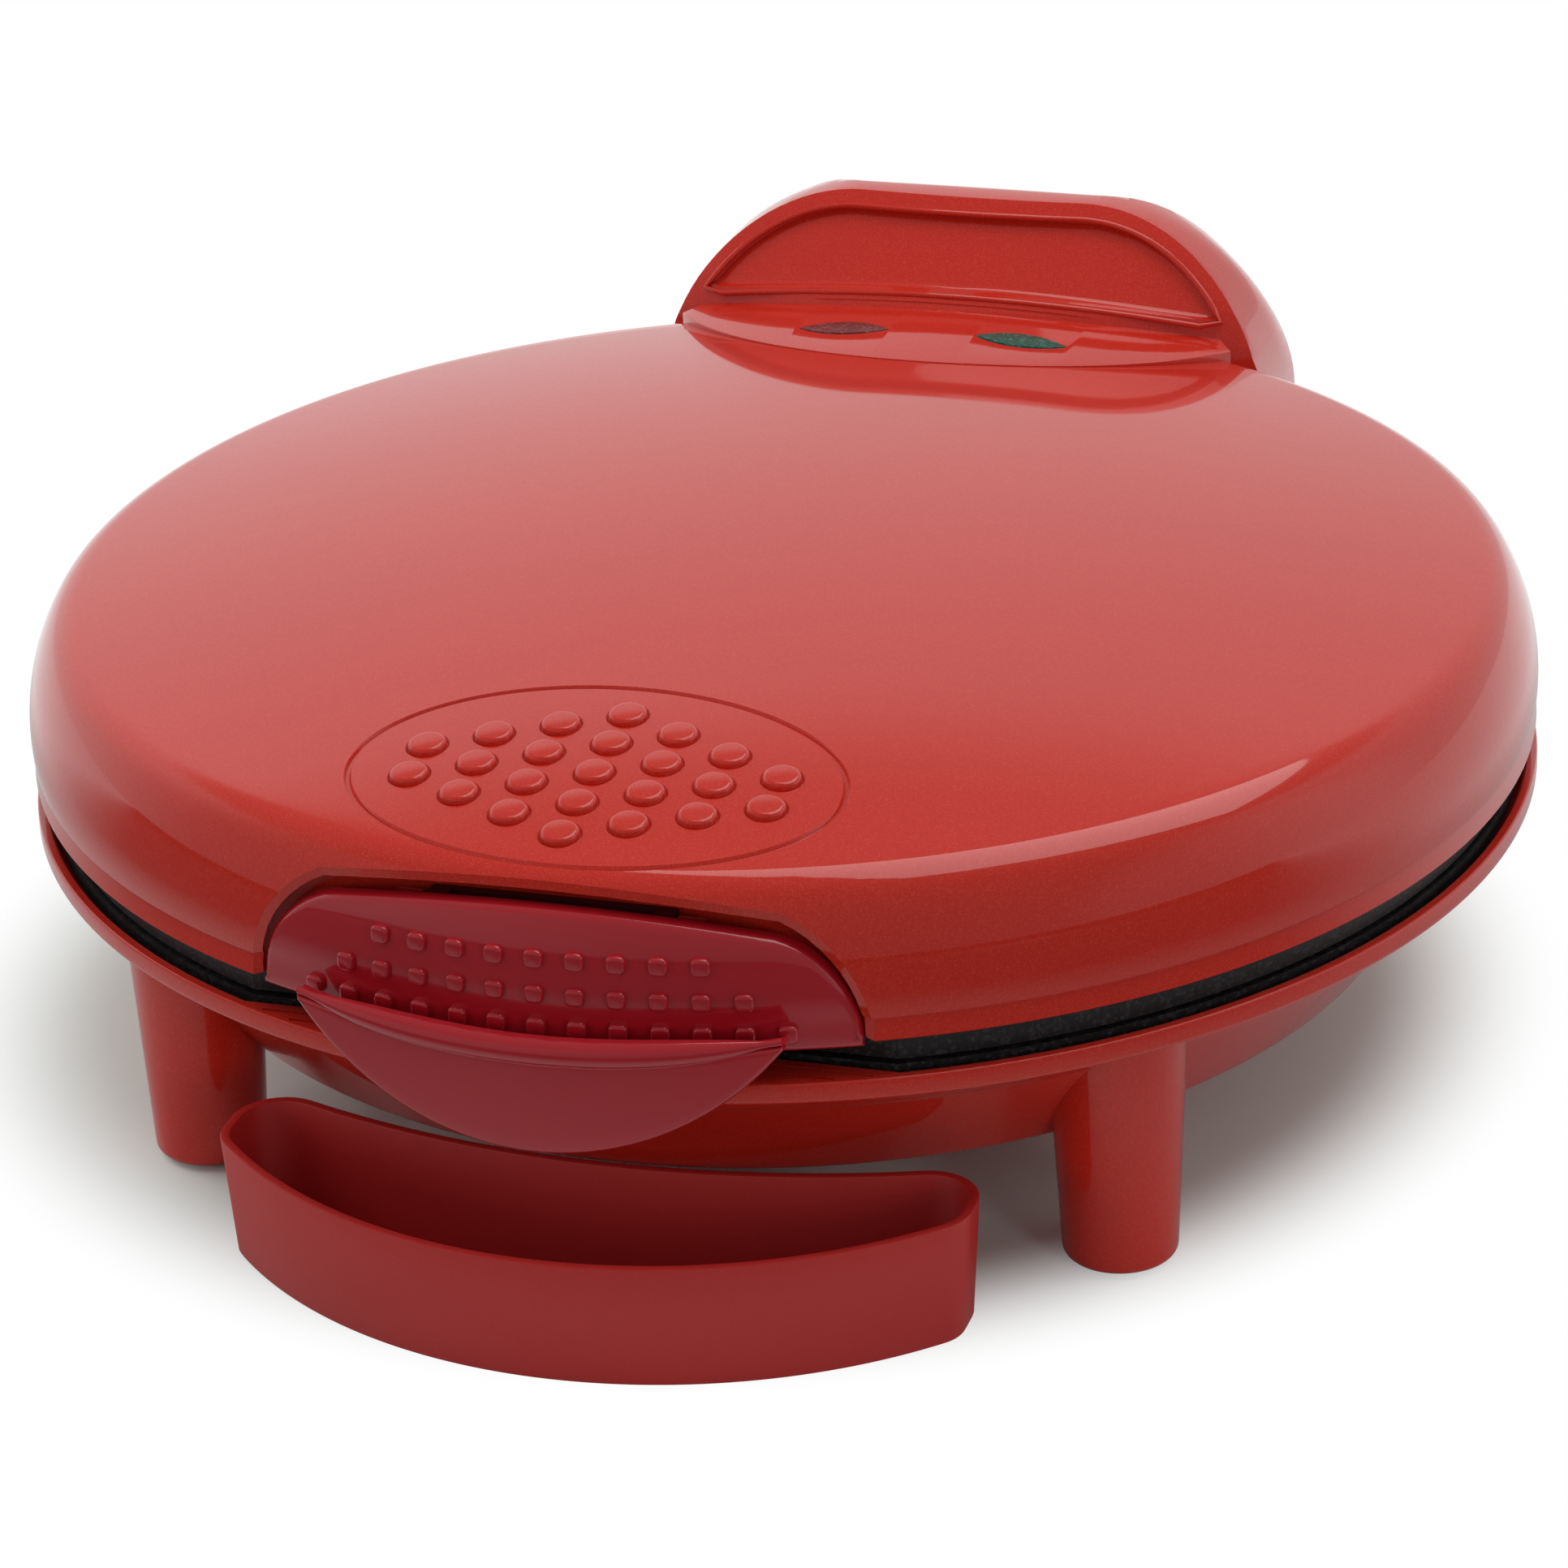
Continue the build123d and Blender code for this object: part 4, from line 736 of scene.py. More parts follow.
# ------------------------------------------------------------------ lid
@dataclass
class Dome:
    """Outside and inside of the lid's round shell."""

    rim_radius: float = 154.998
    crown: float = 111.0
    crease_radius: float = 147.5
    crease_height: float = 96.8
    belly_height: float = 75.0
    band_top: float = 70.8
    band_step: float = 0.5
    band_draft: float = 0.25
    foot: float = 65.8
    wall: float = 2.5
    crease_rounding: float = 9.0

    def crown_radius(self) -> float:
        """Radius of the sphere on top."""
        drop = self.crown - self.crease_height
        return (self.crease_radius**2 + drop**2) / (2 * drop)

    def crown_height(self, radius: float) -> float:
        """Height of the top at a radius."""
        sphere = self.crown_radius()
        return self.crown - sphere + math.sqrt(sphere**2 - radius**2)

    def skirt_centre(self) -> Point:
        """Centre of the skirt's arc, as (radius, height)."""
        return (self.rim_radius - self.skirt_arc(), self.belly_height)

    def skirt_arc(self) -> float:
        """Radius of the skirt's arc."""
        run, rise = self.rim_radius - self.crease_radius, self.crease_height - self.belly_height
        return (run**2 + rise**2) / (2 * run)

    def skirt_radius(self, height: float) -> float:
        """Outside radius of the skirt at a height."""
        centre = self.skirt_centre()
        reach = self.skirt_arc()
        return centre[0] + math.sqrt(max(reach**2 - (height - centre[1]) ** 2, 0.0))

    def top(self, inset: float = 0.0, steps: int = 44) -> list[Point]:
        """Profile from the crown to the crease."""
        sphere = self.crown_radius()
        tilt = math.degrees(math.asin((self.crease_radius - inset) / sphere))
        return arc((0.0, self.crown - inset - sphere), sphere, 90.0, 90.0 - tilt, steps)

    def skirt(self, inset: float = 0.0, steps: int = 22) -> list[Point]:
        """Profile from the crease to the band under the belly."""
        centre = self.skirt_centre()
        reach = self.skirt_arc()
        high = math.degrees(math.asin((self.crease_height - centre[1]) / reach))
        low = math.degrees(math.asin((self.band_top - centre[1]) / reach))
        return arc((centre[0] - inset, centre[1]), reach, high, low, steps)

    def outside(self) -> list[Point]:
        """Profile of the outside, crown to foot."""
        band = self.rim_radius - self.band_draft
        lower = rounded([(band, self.band_top), (band - self.band_step, self.band_top - self.band_step),
                         (band, self.foot + 0.4), (band - 0.5, self.foot)], (0, 0, 0, 0))
        crease = (self.crease_radius, self.crease_height)
        top = [p for p in self.top() if math.dist(p, crease) > 4.2]
        skirt = [p for p in self.skirt()[:-1] if math.dist(p, crease) > 4.2]
        return top[:-1] + rounded([top[-1], crease, skirt[0]], (0, self.crease_rounding, 0), 8) + skirt[1:] + lower

    def inside(self, foot: float) -> list[Point]:
        """Closed-off profile of the hollow, crown to foot, down to a given height."""
        band = self.rim_radius - self.wall - self.band_draft
        return self.top(self.wall, 24) + self.skirt(self.wall, 10) + [(band, foot), (0.0, foot)]


@dataclass
class LatchShape:
    """Front view of the latch and of its recess."""

    half_width: float = 59.0
    elbow: Point = (55.5, 77.5)
    shoulder: Point = (44.0, 86.5)
    top: float = 90.5
    bottom: float = 64.4
    side_foot: float = 65.8

    def outline(self, grow: float = 0.0, headroom: float = 0.0, steps: int = 10) -> list[Point]:
        """Convex outline from the right foot over the top to the left foot.

        Args:
            grow: How far it is grown sideways.
            headroom: How far it is grown upwards.
            steps: Chords in each side arc.

        Returns:
            Points as (x, z).
        """
        foot = (self.half_width + grow, self.side_foot)
        elbow = (self.elbow[0] + grow, self.elbow[1] + headroom / 2)
        shoulder = (self.shoulder[0] + grow / 2, self.shoulder[1] + headroom)
        side = bow(foot, elbow, shoulder, steps)
        over = bow(shoulder, (0.0, self.top + headroom), (-shoulder[0], shoulder[1]), 2 * steps)
        return side + over[1:-1] + [(-x, z) for x, z in reversed(side)]


@dataclass
class Lid:
    """Domed lid with the latch's recess, the grip pad, the lamp shelf and the hump over the hinge."""

    dome: Dome = field(default_factory=Dome)
    latch_shape: LatchShape = field(default_factory=LatchShape)
    recess_gap: float = 2.2
    recess_headroom: float = 4.8
    recess_floor: float = -140.0
    recess_bevel: float = 1.4
    recess_bevel_depth: float = 1.1
    shelf_height: float = 105.0
    shelf_camber: float = 340.0
    shelf_front: float = 98.0
    shelf_tip: Point = (64.0, 132.5)
    shelf_back: Point = (56.0, 144.0)
    hump_half_width: float = 70.5
    hump_top: float = 124.499
    hump_corner: float = 45.0
    hump_rear: float = 167.999
    hump_foot_y: float = 129.5
    hump_brow_y: float = 151.0
    hump_shoulder_y: float = 156.0
    hump_border: float = 5.0
    hump_edge: float = 3.4
    hump_sweep: float = 15.0
    hump_fall: float = 7.0
    fall_from: float = 72.0
    panel_border: float = 3.6
    panel_depth: float = 1.9
    panel_lift: float = 3.2
    panel_hollow: float = 1.7
    bead_offset: float = 0.75
    bead_size: float = 0.62
    trim_lines: tuple[float, ...] = (1.1,)
    trim_line: float = 0.32
    pad_centre: Point = (0.0, -115.6)
    pad_half: Point = (48.6, 29.9)
    pad_groove: float = 2.2
    pad_groove_depth: float = 0.65
    dot_radius: float = 3.6
    dot_height: float = 1.15
    dot_moat: float = 0.7
    dot_pitch: Point = (11.78, 10.1)
    dots_y: float = -115.8
    hinge: Point = (158.5, 61.5)
    hinge_hole: float = 2.55
    eye_radius: float = 6.0
    knuckle: Point = (44.1, 51.6)
    cover_half: Point = (42.0, 20.0)
    cover_height: float = 92.0
    cover_seat: float = 165.4
    cover_margin: float = 5.0
    lens_place: Point = (20.4, 116.0)
    lens_half: Point = (10.3, 3.7)
    fit_gap: float = 0.25

    def skin(self) -> Form:
        """Outside of the dome with the bevelled recess pressed into it, closed underneath."""
        form = Form.turned(self.dome.outside(), 240)
        outline = self.latch_shape.outline(self.recess_gap, self.recess_headroom)
        near = [f for f in form.bm.faces if self._in_front(f.calc_center_median())]
        for start, end in zip(outline, outline[1:]):
            geom = list({g for f in near for g in (*f.verts, *f.edges, f)})
            normal = (end[1] - start[1], 0.0, start[0] - end[0])
            bmesh.ops.bisect_plane(form.bm, geom=geom, dist=1e-4, plane_co=(start[0], 0.0, start[1]),
                                   plane_no=normal)
            near = [f for f in form.bm.faces if self._in_front(f.calc_center_median())]
        pressed = [f for f in near if self._within(f.calc_center_median(), outline)]
        bmesh.ops.remove_doubles(form.bm, verts=list({v for f in pressed for v in f.verts}), dist=0.12)
        pressed = [f for f in form.bm.faces if f.is_valid and self._in_front(f.calc_center_median())
                   and self._within(f.calc_center_median(), outline)]
        bmesh.ops.inset_region(form.bm, faces=pressed, use_boundary=False, use_even_offset=True,
                               thickness=self.recess_bevel, depth=-self.recess_bevel_depth)
        rim = [e for f in pressed for e in f.edges
               if len(e.link_faces) == 2 and sum(g in pressed for g in e.link_faces) == 1]
        rim = list(dict.fromkeys(rim))
        bmesh.ops.delete(form.bm, geom=pressed, context="FACES")
        rim = [e for e in rim if e.is_valid]
        walls = bmesh.ops.extrude_edge_only(form.bm, edges=rim)["geom"]
        back = {g for g in walls if isinstance(g, bmesh.types.BMVert)}
        for vert in back:
            vert.co.y = self.recess_floor
        behind = [g for g in walls if isinstance(g, bmesh.types.BMEdge) and all(v in back for v in g.verts)]
        ends = [v for v in back if sum(v in e.verts for e in behind) == 1]
        lower = form.bm.edges.new(ends)
        bmesh.ops.contextual_create(form.bm, geom=behind + [lower])
        opening = [e for e in form.bm.edges if e.is_boundary]
        bmesh.ops.contextual_create(form.bm, geom=opening)
        bmesh.ops.recalc_face_normals(form.bm, faces=form.bm.faces)
        return form

    def _in_front(self, point: Vector) -> bool:
        """Whether a point lies on the skirt round the latch."""
        return point.y < -130.0 and abs(point.x) < 70.0 and point.z < self.dome.crease_height - 0.3

    @staticmethod
    def _within(point: Vector, outline: Sequence[Point]) -> bool:
        """Whether a point lies inside a convex outline seen from the front."""
        return all((b[0] - a[0]) * (point.z - a[1]) - (b[1] - a[1]) * (point.x - a[0]) > 0
                   for a, b in zip(outline, outline[1:]))

    def shelf(self) -> Form:
        """Cambered shelf in front of the hump."""
        reach = self.shelf_tip[0]
        over = arc((0.0, self.shelf_height - self.shelf_camber), self.shelf_camber,
                   90 - math.degrees(math.asin(reach / self.shelf_camber)),
                   90 + math.degrees(math.asin(reach / self.shelf_camber)), 40)
        form = Form.prism(over + [(-reach, 92.0), (reach, 92.0)], Axis.Y, self.shelf_front - 2, self.shelf_back[1])
        front = bow((-reach, self.shelf_tip[1]), (0.0, self.shelf_front), (reach, self.shelf_tip[1]), 40)
        for start, end in zip(front, front[1:]):
            form.trim((*start, 0.0), (end[1] - start[1], start[0] - end[0], 0.0))
        for side in (-1, 1):
            run = (self.shelf_back[0] - self.shelf_tip[0], self.shelf_back[1] - self.shelf_tip[1])
            form.trim((side * self.shelf_tip[0], self.shelf_tip[1], 0.0), (side * run[1], -run[0], 0.0))
        return form.round_edges(0.45, 3, lambda e: all(v.co.z > 93.0 for v in e.verts) and any(
            abs(f.normal.z) < 0.1 and f.normal.y < 0.1 for f in e.link_faces) and any(
            f.normal.z > 0.5 for f in e.link_faces))

    def hump(self) -> Form:
        """Hump over the hinge with its sloping front; the panel is cut into it in shell()."""
        side = self.hump_half_width
        corner = (side - self.hump_corner, self.hump_top - self.hump_corner)
        quarter = arc(corner, self.hump_corner, 0, 90, 24)
        form = Form.prism(mirrored([(side, self.dome.foot)] + quarter), Axis.Y, self.hump_foot_y - self.hump_border,
                          self.hump_rear)
        run, rise = self.hump_brow_y - self.hump_foot_y, self.hump_top - self.shelf_height
        form.trim((0.0, self.hump_foot_y, self.shelf_height), (0.0, -rise, run))
        form.trim((0.0, self.hump_foot_y, self.shelf_height), (0.0, -2.0, 1.0))
        form.round_edges(self.hump_edge, 5, lambda e: self._front_edge(e))
        drop = self.hump_rear - self.hump_shoulder_y
        centre = Vector((0.0, self.hump_shoulder_y, self.hump_top - drop))
        for step in range(1, 9):
            angle = math.radians(90 * (step - 0.5) / 8)
            way = Vector((0.0, math.sin(angle), math.cos(angle)))
            form.trim(centre + way * drop, way)
        return self._swept(form)

    def _swept(self, form: Form) -> Form:
        """Sweep the ends of the hump back and let its shoulders fall away behind."""
        for step in range(-18, 19):
            form.slice((4.0 * step, 0.0, 0.0), (1.0, 0.0, 0.0))
        for step in range(12):
            form.slice((0.0, self.hump_foot_y + 3.5 * step, 0.0), (0.0, 1.0, 0.0))
        for vert in form.bm.verts:
            share = min(abs(vert.co.x) / self.hump_half_width, 1.0)
            ahead = (self.hump_rear - vert.co.y) / (self.hump_rear - self.hump_foot_y)
            behind = max((vert.co.y - self.hump_brow_y) / (self.hump_rear - self.hump_brow_y), 0.0)
            vert.co.y += self.hump_sweep * share**2 * min(max(ahead, 0.0), 1.0)
            above = min(max((vert.co.z - self.fall_from) / 40.0, 0.0), 1.0)
            vert.co.z -= self.hump_fall * behind**2 * share**2 * above
        return form

    def _front_edge(self, edge: bmesh.types.BMEdge) -> bool:
        """Whether an edge belongs to the hump's front outline."""
        middle = (edge.verts[0].co + edge.verts[1].co) / 2
        return (middle.z > self.shelf_height - 8 and middle.y < self.hump_brow_y + 0.1
                and edge.calc_face_angle(0.0) > math.radians(20)
                and not all(abs(v.co.z - self.shelf_height) < 0.1 for v in edge.verts))

    def _panel_outline(self, steps: int) -> list[Point]:
        """Closed outline of the sunken panel in front view."""
        radius = self.hump_corner - self.panel_border
        corner = (self.hump_half_width - self.hump_corner, self.hump_top - self.hump_corner)
        under = self.shelf_camber + self.panel_lift
        floor = self.shelf_height - self.shelf_camber
        side = [p for p in arc(corner, radius, 0, 90, steps) if math.hypot(p[0], p[1] - floor) > under + 0.4]
        low = math.degrees(math.acos(side[0][0] / under))
        below = arc((0.0, floor), under, 180 - low, low, 40)
        over = [(corner[0] * (1 - i / 6), side[-1][1]) for i in range(1, 6)]
        half = side + over
        return half + [(0.0, side[-1][1])] + [(-x, z) for x, z in reversed(half)] + below[1:-1]

    def panel_bead(self) -> Form:
        """Slim rounded bead round the sunken panel."""
        run, rise = self.hump_brow_y - self.hump_foot_y, self.hump_top - self.shelf_height
        path = [Vector((x, self.hump_foot_y + (z - self.shelf_height) * run / rise, z))
                for x, z in moved_out(self._panel_outline(40), self.bead_offset)]
        out = Vector((0.0, -rise, run)).normalized()
        rings = []
        for index, place in enumerate(path):
            ahead = (path[(index + 1) % len(path)] - path[index - 1]).normalized()
            across = ahead.cross(out)
            rings.append([place + (across * math.cos(math.tau * i / 12) + out * math.sin(math.tau * i / 12))
                          * self.bead_size for i in range(12)])
        form = Form().loft(rings + [rings[0]], caps=False)
        bmesh.ops.remove_doubles(form.bm, verts=form.bm.verts, dist=1e-4)
        bmesh.ops.recalc_face_normals(form.bm, faces=form.bm.faces)
        return self._swept(form)

    def panel(self) -> Form:
        """Cutter for the sunken panel, a little wider in front than behind."""
        outline = self._panel_outline(60)
        run, rise = self.hump_brow_y - self.hump_foot_y, self.hump_top - self.shelf_height
        slant = math.hypot(run, rise)
        out = Vector((0.0, -rise / slant, run / slant))
        foot = Vector((0.0, self.hump_foot_y, self.shelf_height))
        form = Form.prism(outline, Axis.Y, 118.0, 160.0)
        form.trim(foot - out * self.panel_depth, -out)
        form.trim(foot + out * 3.0, out)
        middle = Vector((0.0, 140.0, 112.0))
        for vert in form.bm.verts:
            rise_out = (vert.co - foot).dot(out) + self.panel_depth
            reach = Vector((vert.co.x - middle.x, 0.0, vert.co.z - middle.z))
            vert.co += reach.normalized() * rise_out * 0.45
        form.round_edges(self.panel_hollow, 5, lambda e: all(abs((v.co - foot).dot(out) + self.panel_depth) < 0.02
                                                             for v in e.verts))
        return self._swept(form)

    def trim_grooves(self) -> Form:
        """Fine grooves between the panel and the shelf."""
        run, rise = self.hump_brow_y - self.hump_foot_y, self.hump_top - self.shelf_height
        form = Form()
        for lift in self.trim_lines:
            rings = []
            for step in range(-26, 27):
                x = 2.0 * step
                height = math.sqrt(self.shelf_camber**2 - x**2) - self.shelf_camber + lift
                y = self.hump_foot_y + height * run / rise
                rings.append([(x, y + self.trim_line * math.cos(math.tau * i / 6),
                               self.shelf_height + height + self.trim_line * math.sin(math.tau * i / 6))
                              for i in range(6)])
            form.take(Form().loft(rings))
        return self._swept(form)

    def hump_hollow(self) -> Form:
        """Space inside the hump, open underneath."""
        wall = self.dome.wall
        side = self.hump_half_width - wall
        corner = (self.hump_half_width - self.hump_corner, self.hump_top - self.hump_corner)
        quarter = arc(corner, self.hump_corner - wall, 0, 90, 16)
        form = Form.prism(mirrored([(side, 55.0)] + quarter), Axis.Y, self.hump_foot_y - self.hump_border + wall,
                          self.hump_rear - wall)
        run, rise = self.hump_brow_y - self.hump_foot_y, self.hump_top - self.shelf_height
        form.trim((0.0, self.hump_foot_y + wall, self.shelf_height - wall), (0.0, -rise, run))
        form.trim((0.0, self.hump_shoulder_y + 8, self.hump_top - wall - 1.5), (0.0, 1.0, 1.0))
        return self._swept(form)

    def shell(self) -> Form:
        """The whole moulding."""
        form = self.skin()
        form.join(self.shelf())
        form.join(self.hump())
        form.cut(self.panel())
        form.cut(self.trim_grooves())
        hollow = Form.turned(self.dome.inside(50.0), 120)
        hollow.trim((0.0, self.recess_floor + self.dome.wall, 0.0), (0.0, -1.0, 0.0))
        form.cut(hollow)
        form.cut(self.hump_hollow())
        form.join(self._knuckles())
        form.cut(self._moats())
        form.cut(self._openings())
        return form

    def _knuckles(self) -> Form:
        """Two eyes on the hinge pin, with ribs up into the hump, and the frame round the cover."""
        y, z = self.hinge
        form = Form()
        for side in (-1, 1):
            low, high = sorted((side * self.knuckle[0], side * self.knuckle[1]))
            eye = Form.rod((low, y, z), (high, y, z), self.eye_radius)
            eye.join(Form.block((low, y - self.eye_radius, z), (high, y + self.eye_radius, self.hump_top - 17)))
            form.take(eye)
        reach, tall = self.cover_half[0] + 2.0, self.cover_half[1] + 2.0
        form.take(Form.block((-reach, self.cover_seat - self.dome.wall, self.cover_height - tall),
                             (reach, self.hump_rear - 1.0, self.cover_height + tall)))
        return form

    def _openings(self) -> Form:
        """Everything that is cut at the end: groove, lamp windows, cover seat and pin holes."""
        form = Form()
        form.take(self._groove())
        for side in (-1, 1):
            form.take(Form.prism(marquise(self.lens_half, side * self.lens_place[0], self.lens_place[1],
                                          self.fit_gap), Axis.Z, 90.0, 115.0))
        reach, tall, middle = self.cover_half[0] + self.fit_gap, self.cover_half[1] + self.fit_gap, self.cover_height
        seat = Form.block((-reach, self.cover_seat, middle - tall), (reach, self.hump_rear + 1, middle + tall))
        inner = (self.cover_half[0] - 2 * self.cover_margin, self.cover_half[1] - self.cover_margin)
        seat.join(Form.block((-inner[0], self.cover_seat - 6.0, middle - inner[1]),
                             (inner[0], self.cover_seat + 1.0, middle + inner[1])))
        form.take(seat, Form.rod((-80.0, *self.hinge), (80.0, *self.hinge), self.hinge_hole))
        return form

    def _groove(self) -> Form:
        """Elliptical ring that cuts the line round the grip pad, following the dome."""
        form = Form()
        rings = []
        for grow, lift in ((-0.5, 1.0), (0.5, 1.0), (0.15, -1.0), (-0.15, -1.0)):
            ring = []
            for step in range(160):
                angle = math.tau * step / 160
                x = (self.pad_half[0] + grow * self.pad_groove) * math.cos(angle)
                y = self.pad_centre[1] + (self.pad_half[1] + grow * self.pad_groove) * math.sin(angle)
                ring.append((x, y, self.dome.crown_height(math.hypot(x, y)) + lift * self.pad_groove_depth))
            rings.append(ring)
        form.loft(rings + [rings[0]], caps=False)
        bmesh.ops.remove_doubles(form.bm, verts=form.bm.verts, dist=1e-4)
        bmesh.ops.recalc_face_normals(form.bm, faces=form.bm.faces)
        return form

    def _dot_places(self) -> list[tuple[Vector, Vector]]:
        """Foot and upright direction of each dot of the grip pad."""
        sphere = Vector((0.0, 0.0, self.dome.crown - self.dome.crown_radius()))
        places = []
        for column in range(-3, 4):
            rows = 5 - abs(column)
            for row in range(rows):
                x = self.dot_pitch[0] * column
                y = self.dots_y + self.dot_pitch[1] * (row - (rows - 1) / 2)
                foot = Vector((x, y, self.dome.crown_height(math.hypot(x, y))))
                places.append((foot, (foot - sphere).normalized()))
        return places

    def _moats(self) -> Form:
        """Shallow round moats that the dots stand in."""
        form = Form()
        for foot, up in self._dot_places():
            reach = self.dot_radius + self.dot_moat
            form.take(Form.rod(foot - up * 0.45, foot + up * 0.5, reach - 0.45, reach + 0.5, 40))
        return form

    def pad_dots(self) -> Form:
        """Raised round dots of the grip pad, standing square on the dome."""
        form = Form()
        for foot, up in self._dot_places():
            dot = Form.rod(foot - up, foot + up * self.dot_height, self.dot_radius + 0.25, self.dot_radius, 40)
            top = foot + up * self.dot_height
            dot.round_edges(0.75, 5, lambda e: all(abs((v.co - top).dot(up)) < 1e-3 for v in e.verts))
            form.take(dot)
        return form

    def build(self, materials: dict[str, bpy.types.Material]) -> None:
        """Make the lid's pieces.

        Args:
            materials: Finishes by slot.
        """
        self.shell().finish("lid_shell", "lid", "body_red", materials["body_red"], ["lid_housing"])
        self.pad_dots().finish("grip_pad_dots", "lid", "body_red", materials["body_red"], ["lid_housing"])
        self.panel_bead().finish("hump_panel_bead", "lid", "body_red", materials["body_red"], ["lid_housing"])


def marquise(half: Point, x: float, y: float, grow: float = 0.0, steps: int = 24) -> list[Point]:
    """Pointed ellipse made of two arcs.

    Args:
        half: Half its length and half its width.
        x: Centre.
        y: Centre.
        grow: How far it is grown all round.
        steps: Chords in each arc.

    Returns:
        The closed outline.
    """
    length, width = half[0] + grow, half[1] + grow
    upper = bow((x + length, y), (x, y + width), (x - length, y), steps)
    return upper + [(p[0], 2 * y - p[1]) for p in reversed(upper[1:-1])]


@dataclass
class Lamps:
    """The two indicator lenses in the shelf."""

    half: Point = (10.3, 3.7)
    place: Point = (20.4, 116.0)
    foot: float = 99.6
    proud: float = 0.35
    shelf_height: float = 105.0
    shelf_camber: float = 340.0

    def lens(self, side: int) -> Form:
        """One lens, its top following the shelf's camber."""
        x, y = side * self.place[0], self.place[1]
        form = Form.prism(marquise(self.half, x, y), Axis.Z, self.foot, self.shelf_height)
        for vert in form.bm.verts:
            if vert.co.z > self.foot + 1:
                camber = math.sqrt(self.shelf_camber**2 - vert.co.x**2)
                vert.co.z = self.shelf_height - self.shelf_camber + camber + self.proud
        form.round_edges(0.5, 3, lambda e: all(v.co.z > self.foot + 1 for v in e.verts))
        return form

    def build(self, materials: dict[str, bpy.types.Material]) -> None:
        """Make both lenses."""
        self.lens(-1).finish("power_lamp_lens", "lid", "lens_red", materials["lens_red"], ["power_lens"])
        self.lens(1).finish("ready_lamp_lens", "lid", "lens_green", materials["lens_green"], ["ready_lens"])


